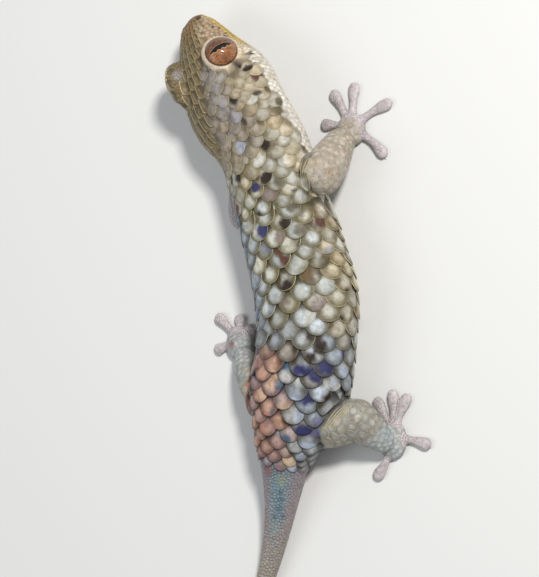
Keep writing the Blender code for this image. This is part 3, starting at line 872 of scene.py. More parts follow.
# Single marks that show in the photo: colour, strength, and where they lie in it, in pixels, with
# how far they reach.
marks = {
    "brown": (
        (46, 35, 27), 1.0, (266, 145, 6), (240, 177, 6), (267, 179, 7), (289, 224, 10), (261, 215, 5),
        (313, 335, 7), (320, 347, 7), (338, 319, 6), (297, 347, 5), (308, 361, 8), (327, 399, 6),
        (250, 53, 5), (239, 66, 4), (248, 69, 5), (258, 94, 4), (233, 100, 5), (225, 36, 2),
        (294, 191, 3), (275, 327, 3), (289, 288, 8), (344, 291, 5), (213, 27, 1.5), (219, 28, 1.5),
        (209, 24, 1), (226, 33, 1.5), (300, 244, 4),
    ),
    "redBrown": (
        (86, 54, 42), 0.97, (281, 252, 6), (286, 261, 6), (320, 221, 8), (258, 77, 7), (198, 19, 4),
    ),
    "olive": (
        (82, 73, 48), 0.9, (293, 205, 8), (300, 212, 6), (324, 263, 9), (300, 231, 7), (279, 181, 7),
        (279, 102, 5), (277, 110, 5), (265, 276, 5), (307, 360, 4),
    ),
    "mauve": (
        (118, 102, 96), 0.8, (269, 194, 9), (282, 237, 9), (333, 237, 6), (322, 304, 13), (285, 301, 7),
    ),
    "indigo": (
        (42, 44, 88), 0.97, (265, 231, 9), (256, 188, 5), (325, 366, 9), (299, 371, 7), (308, 373, 7),
        (316, 376, 8), (308, 396, 9), (303, 431, 9), (343, 354, 5), (300, 460, 4),
    ),
    "violet": ((96, 92, 126), 0.75, (314, 432, 7), (317, 420, 6), (271, 347, 5)),
    "slate": (
        (128, 134, 150), 0.7, (329, 254, 8), (274, 311, 7), (260, 290, 7), (267, 248, 7), (342, 371, 7),
    ),
    "teal": ((58, 88, 110), 0.9, (286, 363, 8), (282, 385, 7), (285, 440, 7), (274, 412, 4)),
    "navy": (
        (74, 94, 116), 0.6, (281, 500, 4), (279, 509, 4), (274, 517, 3), (283, 516, 3), (281, 492, 3),
    ),
    "lime": ((160, 164, 128), 0.5, (282, 480, 6), (249, 195, 4), (276, 396, 4)),
    "paleBlue": (
        (166, 178, 196), 0.8, (306, 446, 9), (242, 147, 7), (296, 400, 8), (302, 417, 9), (260, 300, 6),
        (341, 371, 6),
    ),
    "paleTeal": ((152, 166, 172), 0.6, (388, 432, 9), (246, 347, 5), (241, 378, 7), (280, 432, 6)),
    "plum": (
        (132, 84, 86), 0.7, (261, 364, 8), (254, 411, 6), (268, 470, 7), (279, 469, 6), (232, 345, 4),
    ),
    "salmon": ((186, 124, 102), 0.7, (248, 388, 7), (264, 429, 8), (248, 399, 6), (267, 414, 7)),
    "peach": (
        (206, 176, 146), 0.75, (276, 373, 9), (267, 396, 8), (271, 385, 7), (287, 409, 8), (290, 461, 9),
        (276, 372, 7),
    ),
    # pale pearly scales, partly a painted highlight where glints fall along the back and the neck
    "pearl": (
        (204, 207, 202), 0.7, (260, 161, 8), (281, 164, 8), (300, 260, 7), (296, 274, 7), (302, 292, 7),
        (297, 379, 7), (323, 385, 7), (336, 388, 5), (252, 98, 7), (310, 318, 9),
    ),
    "gold": ((98, 74, 40), 0.9, (308, 275, 8), (332, 396, 1.5)),
    "tailGreen": ((146, 151, 142), 0.7, (300, 492, 6), (297, 507, 6), (293, 523, 6), (288, 540, 6)),
    "jowl": ((176, 167, 150), 0.6, (262, 61, 8), (272, 76, 8)),
    "rust": ((150, 112, 84), 0.5, (329, 172, 5), (318, 213, 5), (345, 150, 3)),
    "lavender": (
        (154, 150, 160), 0.55, (215, 84, 9), (221, 103, 10), (178, 75, 7), (236, 120, 9), (205, 78, 6),
    ),
}


def seenAt(x, y):
    # the place on the skin that lies under a pixel of the photo
    origin = towardsCamera * view["distance"]
    across = (x - view["frameWidth"] / 2) / view["pixelsPerMm"]
    down = (y - view["frameHeight"] / 2) / view["pixelsPerMm"]
    target = cameraRight * across - Vector((0, down, 0))
    return skinTree.ray_cast(origin, (target - origin).normalized())[0]


markSpread = 1.1  # of a mark on the skin, against how far it reaches in the photo


def marksSeen():
    found = []
    for colour, strength, *spots in marks.values():
        for x, y, reach in spots:
            place = seenAt(x, y)
            if place is not None:
                size = reach / view["pixelsPerMm"] * markSpread
                found.append((np.array(place), size, linear(*colour), strength))
    return found


def marksElsewhere():
    # like marks over the sides that the photo does not show
    draw = np.random.default_rng(77)
    found = []
    tones = ("brown", "brown", "redBrown", "olive", "indigo", "slate", "mauve", "pearl")
    for _ in range(80):
        at = draw.uniform(24, 63)
        angle = draw.uniform(128, 215)
        size = draw.uniform(0.6, 1.05)
        colour, strength = marks[draw.choice(tones)][:2]
        found.append((bodyPoints(at, math.radians(angle))[0], size, linear(*colour), strength))
    return found


allMarks = marksSeen() + marksElsewhere()
print("marks found:", len(allMarks))


thickRim = ((0.985, 0.85), (0.8, 1.0), (0.4, 1.0))
plainRim = ((0.92, 1.0),)


def scaleDisc(rings, spokes, taper, unders=thickRim, roundness=0.94):
    # a round scale as (across, along, share out to the rim, how deep under its top) and its faces
    turns = turnsOf(spokes)
    rim = np.column_stack((np.sin(turns), np.cos(turns)))
    rim = np.sign(rim) * np.abs(rim) ** roundness
    rim[:, 0] *= 1 - taper * np.clip(-rim[:, 1], 0, 1) ** 2
    rows = [(0.0, 0.0, 0.0, 0.0)]
    for share in rings:
        rows += [(x * share, y * share, share, 0.0) for x, y in rim]
    for share, under in unders:
        rows += [(x * share, y * share, share, under) for x, y in rim]
    rows.append((0.0, 0.0, 0.0, 1.0))
    faces = []
    last = len(rows) - 1
    bands = len(rings) + len(unders)
    for i in range(spokes):
        j = (i + 1) % spokes
        faces.append((0, 1 + j, 1 + i))
        for band in range(bands - 1):
            a, b = 1 + band * spokes, 1 + (band + 1) * spokes
            faces.append((a + i, a + j, b + j, b + i))
        faces.append((last, last - spokes + i, last - spokes + j))
    return np.array(rows), faces


scalePaint = {  # in half widths and half lengths of a scale, rearwards from its middle
    "domeWide": 0.78,
    "domeLong": 0.7,
    "domeAt": 0.34,
    "domeEdge": (0.5, 1.12),
    "domeVaries": 0.3,
    "domeLeast": 0.5,  # of its full paleness
    # painted shade at a scale's root, from where to where
    "rootShadeEdge": (-0.5, 0.1),
    # a painted shade at one side of some scales, where a neighbour overlaps it
    "wedgeAt": (0.62, 0.05),
    "wedgeSize": (0.5, 0.6),
    "wedgeEdge": (0.45, 1.05),
    "wedgeGain": 1.6,
    "wedgeFrom": 0.45,
    "sideShadowDarkens": (0.74, 0.8, 0.9),
    "hue": (0.07, 0.0, -0.12),
    "markReach": 4,  # millimetres
    "markSpill": (0.5, 0.9),
    "markRagged": 0.2,
    "markGrain": 0.9,
    "markSoft": 0.35,
    "markEnd": 1.2,
}


def paintScales(seeds, shape, points):
    # a pale dome in a darker margin on each scale, with painted shade at its root and at one side, then
    # the marks, each kept to the scale it lies on
    count, each = len(seeds["point"]), len(shape)
    pair = paint(seeds["point"])
    across, along, out = shape[:, 0], shape[:, 1], shape[:, 2]
    look = scalePaint
    away = np.hypot(across / look["domeWide"], (along - look["domeAt"]) / look["domeLong"])
    dome = 1 - smooth(away[None] + seeds["tone"][:, None] * look["domeVaries"], *look["domeEdge"])
    dome = dome * (look["domeLeast"] + (1 - look["domeLeast"]) * seeds["pearl"][:, None])
    # painted shade: each scale darker at its root, under the rim of the scale in front
    rootShade = 1 - seeds["root"][:, None] * (1 - smooth(along, *look["rootShadeEdge"]))[None]
    # painted shade: a dark wedge at one side of some scales, between them and a neighbour
    smudge = seeds["smudge"][:, None]
    aside = (across[None] - np.sign(smudge) * look["wedgeAt"][0]) / look["wedgeSize"][0]
    beside = np.hypot(aside, (along[None] - look["wedgeAt"][1]) / look["wedgeSize"][1])
    sideShadow = np.clip(np.abs(smudge) * look["wedgeGain"] - look["wedgeFrom"], 0, 1)
    sideShadow = sideShadow * (1 - smooth(beside, *look["wedgeEdge"]))
    colours = pair[:, None, 1] + (pair[:, None, 0] - pair[:, None, 1]) * dome[..., None]
    colours = colours * rootShade[..., None] * seeds["bright"][:, None, None]
    colours = colours * (1 - sideShadow[..., None] * np.array(look["sideShadowDarkens"]))
    colours = colours * (1 + seeds["hue"][:, None, None] * np.array(look["hue"]))
    points = points.reshape(count, each, 3)
    for place, reach, colour, strength in allMarks:
        offset = place - seeds["point"]
        x = (offset * seeds["side"]).sum(axis=1) / seeds["width"] * 2
        y = (offset * seeds["lie"]).sum(axis=1) / seeds["length"] * 2
        height = (seeds["rise"] + seeds["sink"]) * (y + 1) / 2 - seeds["sink"]
        onScale = (np.hypot(x, y) < 1) & (np.linalg.norm(offset, axis=1) < look["markReach"])
        if not onScale.any():
            continue
        owner = int(np.argmax(np.where(onScale, height, -9)))
        for i in np.flatnonzero(np.linalg.norm(offset, axis=1) < reach + seeds["width"] / 2):
            hold = 1.0 if i == owner else float(smooth(reach / seeds["width"][i], *look["markSpill"]))
            ragged = 1 + wander(points[i], look["markGrain"], 61) * look["markRagged"]
            away = np.linalg.norm(points[i] - place, axis=1) * ragged
            faded = smooth(away / reach, strength - look["markSoft"], look["markEnd"])
            share = (1 - faded) * hold * strength
            colours[i] += (colour - colours[i]) * share[:, None]
    return np.clip(colours, 0, 1).reshape(-1, 3)


bakeMap = {"margin": 0.01, "patch": 0.003}


def layScales(name, seeds, disc, finish, slot):
    # one joined mesh of overlapping scales, each bent to the skin under it, its rear margin raised
    shape, faces = disc
    count, each = len(seeds["point"]), len(shape)
    normals = np.empty((count, 3))
    for i, point in enumerate(seeds["point"].tolist()):
        _, _, index, _ = skinTree.find_nearest(point)
        normals[i] = skinNormals[skinFaces[index]].mean(axis=0)
    normals = unit(normals)
    lie = seeds["lie"]
    lie = unit(lie - normals * (lie * normals).sum(axis=1)[:, None])
    side = np.cross(normals, lie)
    turn = seeds["turn"][:, None]
    lie, side = lie * np.cos(turn) + side * np.sin(turn), side * np.cos(turn) - lie * np.sin(turn)
    across = shape[None, :, 0, None] * seeds["width"][:, None, None] / 2
    along = shape[None, :, 1, None] * seeds["length"][:, None, None] / 2
    flat = (seeds["point"][:, None] + across * side[:, None] + along * lie[:, None]).reshape(-1, 3)
    onSkin = np.empty_like(flat)
    hit = np.empty(len(flat), int)
    for i, point in enumerate(flat.tolist()):
        place, _, hit[i], _ = skinTree.find_nearest(point)
        onSkin[i] = place
    outward = unit(skinNormals[skinFaces[hit]].mean(axis=1))
    # a scale that a limb or a crease would fold over is left out
    folded = (normals[:, None] * outward.reshape(count, each, 3)).sum(axis=2).min(axis=1)
    kept = folded > seeds["fold"]
    rear = np.tile(shape[:, 1], count)
    edge = np.tile(shape[:, 2], count)
    under = np.tile(shape[:, 3], count)
    rise, sink = np.repeat(seeds["rise"], each), np.repeat(seeds["sink"], each)
    dome = np.repeat(seeds["dome"], each) * (1 - edge**2)
    height = -sink + (rise + sink) * (rear + 1) / 2 + dome - under * np.repeat(seeds["thick"], each)
    height = height + np.repeat(seeds["lean"] * seeds["width"] / 2, each) * np.tile(shape[:, 0], count)
    points = onSkin + outward * height[:, None]
    points[:, 2] = np.maximum(points[:, 2], 0.02)
    stay = np.repeat(kept, each)
    seeds = {**seeds, "lie": lie, "side": side}
    seeds = {key: values[kept] for key, values in seeds.items()}
    points, rear, edge = points[stay], rear[stay], edge[stay]
    count = len(seeds["point"])
    attributes = {
        "tint": paintScales(seeds, shape, points),
        "edge": edge,
        "rear": rear,
        "tone": np.repeat(seeds["tone"], each),
        "line": np.repeat(seeds["line"], each),
        "crescentShadow": np.repeat(seeds["crescentShadow"], each),
    }
    allFaces = [tuple(index + i * each for index in face) for i in range(count) for face in faces]
    piece = makePiece(name, points, allFaces, finish, slot, attributes)
    # the bake map: each scale is a small patch at its root's place on the skin unrolled
    at, angle, _ = bodyPlace(seeds["point"])
    root = np.column_stack((at / spineKnots[-1], angle / 360 + 0.5))
    root = root * (1 - 2 * bakeMap["margin"]) + bakeMap["margin"]
    patches = (root[:, None] + shape[None, :, :2] * bakeMap["patch"] / 2).reshape(-1, 2)
    corners = np.empty(len(piece.data.loops), np.int32)
    piece.data.loops.foreach_get("vertex_index", corners)
    layer = piece.data.uv_layers.new(name="OFBake")
    layer.data.foreach_set("uv", patches[corners].astype(np.float32).ravel())
    triangles = count * sum(len(face) - 2 for face in faces)
    print(name, "laid:", count, "scales,", triangles, "triangles")
    return seeds


def treeOf(points):
    tree = KDTree(len(points))
    for i, point in enumerate(points.tolist()):
        tree.insert(point, i)
    tree.balance()
    return tree


scattering = {"packing": 0.82, "rounds": 3}


def scatter(chosen, spacing, seed):
    # spreads scales over the chosen skin points, about the given spacing apart, and evens them out
    indices = np.flatnonzero(chosen)
    places = skinPoints[indices]
    gaps = spacing[indices]
    tree = treeOf(places)
    free = np.ones(len(indices), bool)
    picked = []
    for i in np.random.default_rng(seed).permutation(len(indices)):
        if not free[i]:
            continue
        picked.append(i)
        for _, other, _ in tree.find_range(places[i], gaps[i] * scattering["packing"]):
            free[other] = False
    seats = places[picked]
    for _ in range(scattering["rounds"]):
        nearest = treeOf(seats)
        owner = np.array([nearest.find(point)[1] for point in places.tolist()])
        weight = 1 / gaps**2
        total = np.zeros_like(seats)
        mass = np.zeros(len(seats))
        np.add.at(total, owner, places * weight[:, None])
        np.add.at(mass, owner, weight)
        moved = total / np.maximum(mass, 1e-9)[:, None]
        seats = np.array([skinTree.find_nearest(point)[0] for point in moved.tolist()])
    return seats


def seedsFrom(points, lie, width, look, seed):
    draw = np.random.default_rng(seed)
    count = len(points)
    width = width * (1 + draw.uniform(-1, 1, count) * look["vary"])
    return {
        "point": points,
        "lie": lie,
        "width": width * look["wide"],
        "length": width * look["long"],
        "rise": width * look["rise"] * (1 + draw.uniform(-1, 1, count) * 0.25),
        "sink": width * look["sink"],
        "dome": width * look["dome"],
        "thick": width * look["thick"],
        "turn": np.radians(draw.uniform(-1, 1, count) * look["turn"]),
        "tone": draw.random(count),
        "pearl": draw.random(count),
        "hue": draw.uniform(-1, 1, count) * look["hue"],
        # painted shade at one side of the scale
        "smudge": draw.uniform(-1, 1, count) * look["smudge"],
        "bright": 1 + draw.uniform(-1, 1, count) * look["bright"],
        "fold": np.full(count, look["fold"]),
        # painted shade at each scale's root
        "root": np.full(count, look["root"]),
        "lean": np.full(count, look["lean"]),
        "line": draw.uniform(*look["line"], count),
        "crescentShadow": np.zeros(count),
    }


def latticeRows(first, last, columnsAt):
    # staggered rows of seats round the body, as (distance along it, angle round it, width)
    places, angles, widths = [], [], []
    at, row = first, 0
    while at < last:
        section = through(spineKnots, spine, at)[0]
        halfHeight = (section[10] + section[11]) / 2
        columns = columnsAt(at)
        width = math.tau * math.sqrt((section[9] ** 2 + halfHeight**2) / 2) / columns
        for column in range(columns):
            places.append(at)
            angles.append((column + 0.5 * (row % 2)) * math.tau / columns)
            widths.append(width)
        at += width / 2
        row += 1
    return np.array(places), np.array(angles), np.array(widths)


def lifted(seats, at):
    # moves seats out to the skin's outer side, as over the mounds of the eyes
    ways = unit(seats - through(spineKnots, spine, at)[:, :3])
    hits = [skinTree.ray_cast(seat + way * 4, -way)[0] for seat, way in zip(seats, ways)]
    return np.array([seat if hit is None else hit for seat, hit in zip(seats, hits)], float)


seatLimits = {"lowest": 0.35, "buried": 0.5}


def onTrunk(at, angle, width, look, seed, lift=False):
    # seeds on the body's surface, leaving out what a limb covers and what lies on the floor
    draw = np.random.default_rng(seed)
    at = at + draw.uniform(-1, 1, len(at)) * width * look["stray"]
    angle = angle + draw.uniform(-1, 1, len(at)) * look["stray"] * 0.35
    seats = bodyPoints(at, angle)
    lie = unit(bodyPoints(at + 0.2, angle) - bodyPoints(at - 0.2, angle))
    if lift:
        seats = lifted(seats, at)
    buried = np.array([skinTree.find_nearest(point)[3] for point in seats.tolist()])
    use = (seats[:, 2] > seatLimits["lowest"]) & (buried < seatLimits["buried"])
    return seedsFrom(seats[use], lie[use], width[use], look, seed + 1), at[use]


def someSeeds(seeds, chosen):
    return {key: values[chosen] for key, values in seeds.items()}


def scaleFinish(name, look):
    finish = Finish(name)
    place = finish.place()
    tint = finish.read("tint", "Color")
    edge = finish.read("edge")
    rear = finish.read("rear")
    tone = finish.read("tone")
    cloud = finish.noise(place, 0.9, 3)
    grain = finish.noise(place, 0.14, 2)
    blotch = finish.fade(cloud, 0.42, 0.62) * look["blotch"]
    colour = finish.blend(blotch, tint, look["blotchColour"], "MULTIPLY")
    rings = finish.node("ShaderNodeMath", {"operation": "SINE"}, {0: edge * look["rings"] + cloud * 12})
    colour = finish.blend(rings * 0.03 + 0.03, colour, look["ringColour"], "MULTIPLY")
    speck = finish.fade(grain, 0.58, 0.74) * look["speck"]
    colour = finish.blend(speck, colour, look["speckColour"], "MULTIPLY")
    colour = finish.blend(look["wash"], colour, look["washColour"])
    onSide = finish.fade(rear, look["lineFrom"], look["lineFrom"] + 0.3)
    line = finish.fade(edge, look["rimFrom"], look["rimFrom"] + 0.03) * onSide
    line = line * (1 - finish.fade(rear, 0.68, 0.92) * look["openRear"])
    line = line * finish.fade(cloud + tone * 0.3, 0.35, 0.65, look["lineLeast"], 1.0)
    colour = finish.blend(line * finish.read("line") * look["rim"], colour, look["rimColour"])
    # painted shadow along the rear rim of the rump's raised scales
    shade = finish.fade(edge, 0.945, 0.975) * finish.fade(rear, 0.1, 0.4) * finish.read("crescentShadow")
    colour = finish.blend(shade, colour, look["shadeColour"])
    height = rings * 0.06 + grain * 0.6 + cloud * 0.7
    gloss = finish.fade(cloud + tone * 0.2, 0.3, 0.9, look["roughness"] - 0.08, look["roughness"] + 0.12)
    finish.set(Base_Color=colour, Roughness=gloss, Normal=finish.bump(height, look["relief"]))
    finish.set(Specular_IOR_Level=look["shine"])
    return finish.material


scaleLook = {
    "blotch": 0.4,
    "blotchColour": (146, 136, 112),
    "ringColour": (110, 104, 84),
    "speck": 0.35,
    "speckColour": (110, 98, 80),
    "wash": 0.0,
    "washColour": (170, 160, 126),
    "shadeColour": (30, 22, 18),  # painted shadow: the dark arc under a rear rim
    "rimFrom": 0.953,
    "rim": 0.9,
    "rimColour": (226, 218, 172),
    "lineFrom": -0.3,
    "lineLeast": 0.3,
    "openRear": 0.0,
    "rings": 44,
    "roughness": 0.42,
    "shine": 0.25,
    "relief": 0.04,
}
smallLook = {**scaleLook, "rimFrom": 0.87, "rings": 24, "relief": 0.03}
crownLook = {
    **smallLook,
    "rimFrom": 0.83,
    "lineFrom": -1.5,
    "lineLeast": 0.7,
    "openRear": 1.0,
    "rimColour": (194, 180, 134),
}
pleatLook = {**crownLook, "wash": 0.85, "rim": 0.0}
bodyFinish = scaleFinish("bodyScaleFinish", scaleLook)
crownFinish = scaleFinish("crownScaleFinish", crownLook)
pleatFinish = scaleFinish("pleatFinish", pleatLook)
headFinish = scaleFinish("headScaleFinish", {**smallLook, "rimFrom": 0.92, "rim": 0.6})
limbLook = {**smallLook, "rimFrom": 0.9, "rim": 0.32, "lineFrom": -1.5, "speck": 0.8, "blotch": 0.35}
limbFinish = scaleFinish("limbScaleFinish", limbLook)
throatFinish = scaleFinish("throatFinish", {**smallLook, "rim": 0.3, "blotch": 0.2, "speck": 0.1})
tinyLook = {**smallLook, "rim": 0.1, "rings": 8, "blotch": 0.2, "speck": 0.3}
tinyFinish = scaleFinish("granuleFinish", tinyLook)

bodyScale = {
    "vary": 0.07,
    "stray": 0.06,
    "wide": 1.12,
    "long": 1.32,
    "rise": 0.14,
    "sink": 0.05,
    "dome": 0.05,
    "thick": 0.028,
    "turn": 6,
    "bright": 0.14,
    "smudge": 1.0,
    "fold": 0.1,
    "root": 0.65,  # painted shade: how much darker a scale is at its root, under the rim of the scale in front
    "lean": 0.0,  # rise from its left edge to its right
    "line": (0.1, 0.95),  # how clear its pale rim is
    "hue": 1.0,
}
headScale = {
    **bodyScale,
    "rise": 0.05,
    "dome": 0.02,
    "bright": 0.08,
    "fold": 0.35,
    "stray": 0.05,
    "smudge": 0.6,
    "root": 0.25,
    "line": (0.1, 0.7),
    "hue": 0.6,
}
crownScale = {
    **headScale,
    "vary": 0.04,
    "stray": 0.02,
    "wide": 1.16,
    "long": 2.3,
    "rise": 0.02,
    "dome": 0.012,
    "turn": 2,
    "fold": -0.1,
    "lean": -0.1,
    "root": 0.05,
    "line": (0.85, 1.0),
}
limbScale = {
    **bodyScale,
    "wide": 1.24,
    "long": 1.3,
    "rise": 0.03,
    "sink": 0.03,
    "dome": 0.012,
    "turn": 14,
    "fold": 0.35,
    "smudge": 0.35,
    "root": 0.1,
    "bright": 0.06,
    "line": (0.2, 1.0),
    "hue": 0.45,
}
tinyScale = {
    **bodyScale,
    "wide": 1.3,
    "long": 1.34,
    "rise": 0.02,
    "sink": 0.03,
    "dome": 0.05,
    "fold": 0.3,
    "bright": 0.07,
    "smudge": 0.0,
    "root": 0.0,
}
toeScale = {**tinyScale, "dome": 0.02, "rise": 0.01, "bright": 0.05}
tailScale = {**tinyScale, "dome": 0.022, "bright": 0.1}
largeDisc = scaleDisc((0.2, 0.4, 0.58, 0.74, 0.86, 0.94, 1.0), 24, 0.35)
mediumDisc = scaleDisc((0.3, 0.6, 0.78, 0.9, 1.0), 18, 0.3)
crownDisc = scaleDisc((0.3, 0.6, 0.78, 0.9, 1.0), 22, 0.1, roundness=0.74)
smallDisc = scaleDisc((0.35, 0.65, 0.86, 1.0), 14, 0.25)
granuleDisc = scaleDisc((0.55, 1.0), 8, 0.1, plainRim)
lightDisc = scaleDisc((1.0,), 7, 0.0, plainRim)


def lined(points):
    return crownShare(points, 0.5) > 0.5


throat = {"front": 9, "rear": 28.5, "lowest": -0.8, "highest": 0.22}  # heights as a share of the body's


def onThroat(points):
    at, angle, _ = bodyPlace(points)
    height = np.sin(np.radians(angle))
    along = (at > throat["front"]) & (at < throat["rear"])
    return along & (height < throat["highest"]) & (height > throat["lowest"])


rowEnds = {"head": (8.6, 15.8), "body": (15.8, 64.6)}
columnCounts = ((18, 18), (22, 16), (30, 14), (100, 12))  # up to a place along the body, so many


def headColumns(at):
    return 20


def bodyColumns(at):
    return next(count for end, count in columnCounts if at < end)


bodyChanges = {  # of the scales near the rump, the neck and the limbs
    "leftRumpRise": 0.4,
    "neckRise": -0.55,
    "neckDome": -0.5,
    "neckRootShade": -0.6,
    "neckLine": -0.5,
    "rumpLine": -0.7,
    "rumpHue": 0.3,
    "limbReach": 1.35,
    "limbFold": 0.45,
}
bodySeeds, bodyAt = onTrunk(*latticeRows(*rowEnds["body"], bodyColumns), bodyScale, 5)
leftRump = (bodyPlace(bodySeeds["point"])[1] > 95) & (bodyAt > 47)
onNeck = 1 - smooth(bodyAt, 20, 33)
rises = 1 + bodyChanges["leftRumpRise"] * leftRump + bodyChanges["neckRise"] * onNeck
bodySeeds["rise"] = bodySeeds["rise"] * rises
bodySeeds["dome"] = bodySeeds["dome"] * (1 + bodyChanges["neckDome"] * onNeck)
bodySeeds["root"] = bodySeeds["root"] * (1 + bodyChanges["neckRootShade"] * onNeck)
onRump = smooth(bodyAt, 47, 50)
nearLimb = limbPlace(bodySeeds["point"])[3] < bodyChanges["limbReach"]
bodySeeds["fold"] = np.where(nearLimb, bodyChanges["limbFold"], bodySeeds["fold"])
bodySeeds["hue"] = bodySeeds["hue"] * (1 + bodyChanges["rumpHue"] * onRump)
clearness = (1 + bodyChanges["neckLine"] * onNeck) * (1 + bodyChanges["rumpLine"] * onRump)
bodySeeds["line"] = bodySeeds["line"] * clearness
# painted shadow under the rump's raised rear rims
bodySeeds["crescentShadow"] = onRump * np.random.default_rng(6).uniform(0.5, 1.0, len(bodyAt))
elsewhere = ~lined(bodySeeds["point"]) & ~onThroat(bodySeeds["point"])
bodySeeds, bodyAt = someSeeds(bodySeeds, elsewhere), bodyAt[elsewhere]
laid = []
for name, first, last in (("neckScales", 0, 31), ("bodyScales", 31, 48), ("rumpScales", 48, 90)):
    some = someSeeds(bodySeeds, (bodyAt >= first) & (bodyAt < last))
    laid.append(layScales(name, some, largeDisc, bodyFinish, "body_scales"))


spared = {  # degrees round the eyes and distance from the mouth that scales stay clear of
    "headEye": 13,
    "headMouth": 0.3,
    "crownEye": 10,
    "crownMouth": 0.5,
    "bareEye": 13,
    "bareMouth": 0.25,
    "leftEyeShare": 0.3,
}


def inEye(points, spare):
    hidden = np.zeros(len(points), bool)
    for side, share in ((1, 1.0), (-1, spared["leftEyeShare"])):
        lean, reach = eyeLean(points, side)
        hidden |= (lean < eye["opening"] + spare * share) & (reach < eye["near"])
    return hidden


def onMouth(points, spare):
    back, _, up = headPlace(points)
    return (np.abs(up - mouthLevel(back)) < spare) & (back < mouth["corner"] + 0.5)


eyeRim = {"rings": ((3, 46, 0.29), (9, 42, 0.33))}  # degrees past the opening, count, width


def rimSeats(side):
    centre, axes = eyeAxes(side)
    seats, lies, widths = [], [], []
    for row, (past, count, width) in enumerate(eyeRim["rings"]):
        lean = math.radians(eye["opening"] + past)
        for i in range(count):
            turn = (i + 0.5 * (row % 2)) * math.tau / count
            way = np.array((math.cos(turn), math.sin(turn), 0)) * math.sin(lean)
            way = axes @ (way + np.array((0, 0, math.cos(lean))))
            seats.append(skinTree.find_nearest(centre + way * eye["rimSeat"])[0])
            lies.append(axes @ np.array((math.cos(turn), math.sin(turn), 0.2)))
            widths.append(width)
    return np.array(seats, float), np.array(lies), np.array(widths)


pleats = {  # thin ribs along the folds of the hip and the shoulder, in pixels of the photo
    "hip": {"from": ((341, 403), (354, 402)), "to": ((318, 434), (333, 428)), "length": 4.6},
    "shoulder": {"from": ((304, 152), (315, 152)), "to": ((297, 187), (306, 190)), "length": 4.2},
    "count": 5,
    "width": 0.14,
}
pleatScale = {
    **bodyScale,
    "vary": 0.1,
    "wide": 1.0,
    "rise": 0.16,
    "sink": -0.2,
    "dome": 0.2,
    "thick": 0.9,
    "smudge": 0.0,
    "fold": -0.3,
    "root": 0.0,
    "hue": 0.3,
}


def pleatSeats(fold):
    seats, lies = [], []
    for share in np.linspace(0, 1, pleats["count"]):
        start = np.array(fold["from"][0]) * (1 - share) + np.array(fold["from"][1]) * share
        end = np.array(fold["to"][0]) * (1 - share) + np.array(fold["to"][1]) * share
        above, seat, below = (seenAt(*(start + (end - start) * part)) for part in (0.35, 0.5, 0.65))
        if above and seat and below:
            seats.append(seat)
            lies.append(below - above)
    return np.array(seats, float), unit(np.array(lies, float))


def crownRows(first, last):
    # seats in lengthwise columns that lie evenly round the head and meet at the snout
    fine = np.linspace(0, math.tau, 241)
    places, angles, widths = [], [], []
    at = first
    while at < last:
        ring = bodyPoints(np.full(len(fine), at), fine)
        arc = np.concatenate(((0,), np.cumsum(np.linalg.norm(np.diff(ring, axis=0), axis=1))))
        columns = crown["columns"]
        width = arc[-1] / columns
        places += [at] * columns
        angles += np.interp((np.arange(columns) + 0.5) * width, arc, fine).tolist()
        widths += [width] * columns
        at += width * crown["rowStep"]
    return np.array(places), np.array(angles), np.array(widths)


headSeeds, _ = onTrunk(*latticeRows(*rowEnds["head"], headColumns), headScale, 15)
spots = headSeeds["point"]
clearOfFeatures = ~inEye(spots, spared["headEye"]) & ~onMouth(spots, spared["headMouth"])
headSeeds = someSeeds(headSeeds, clearOfFeatures & ~lined(spots) & ~onThroat(spots))
laid.append(layScales("headScales", headSeeds, mediumDisc, headFinish, "head_skin"))

crownSeeds, _ = onTrunk(*crownRows(crown["front"], crown["rear"]), crownScale, 16, True)
spots = crownSeeds["point"]
clearOfFeatures = ~inEye(spots, spared["crownEye"]) & ~onMouth(spots, spared["crownMouth"])
crownSeeds = someSeeds(crownSeeds, lined(spots) & clearOfFeatures)
laid.append(layScales("crownScales", crownSeeds, crownDisc, crownFinish, "head_skin"))

for name, side in (("eyeRimRight", 1), ("eyeRimLeft", -1)):
    seats, lies, widths = rimSeats(side)
    layScales(name, seedsFrom(seats, lies, widths, tinyScale, 17), smallDisc, tinyFinish, "head_skin")
for name in ("hip", "shoulder"):
    seats, lies = pleatSeats(pleats[name])
    pleatLong = {**pleatScale, "long": pleats[name]["length"] / pleats["width"]}
    seeds = seedsFrom(seats, lies, np.full(len(seats), pleats["width"]), pleatLong, 19)
    layScales(name + "Pleats", seeds, largeDisc, pleatFinish, "body_scales")

# Where no scale of the rows reaches, such as on the limbs, they are scattered.
covered = np.zeros(len(skinPoints), bool)
for seeds in laid:
    tree = treeOf(seeds["point"] + seeds["lie"] * seeds["length"][:, None] * 0.1)
    for i, point in enumerate(skinPoints.tolist()):
        if not covered[i]:
            _, nearest, distance = tree.find(point)
            covered[i] = distance < seeds["width"][nearest] * 0.55
bare = ~covered & (skinPoints[:, 2] > seatLimits["lowest"])
bare &= ~inEye(skinPoints, spared["bareEye"]) & ~onMouth(skinPoints, spared["bareMouth"])


limbGaps = {  # at the root of a limb, and how much less between two places along it
    "root": 1.4,
    "less": ((0.45, 0.6, 1.4), (0.25, 1.6, 2.6), (0.2, 2.7, 3.0), (0.16, 3.0, 3.3)),
}


def limbSpacing(points):
    _, along, _, _ = limbPlace(points)
    size = limbGaps["root"]
    for less, start, end in limbGaps["less"]:
        size = size - less * smooth(along, start, end)
    return size


faceGaps = {"most": 0.62, "least": 0.44, "more": 0.3, "fromEye": (2.6, 5.0)}
tailGaps = {"first": 0.62, "less": 0.16, "between": (64, 67)}
throatGap = 0.78


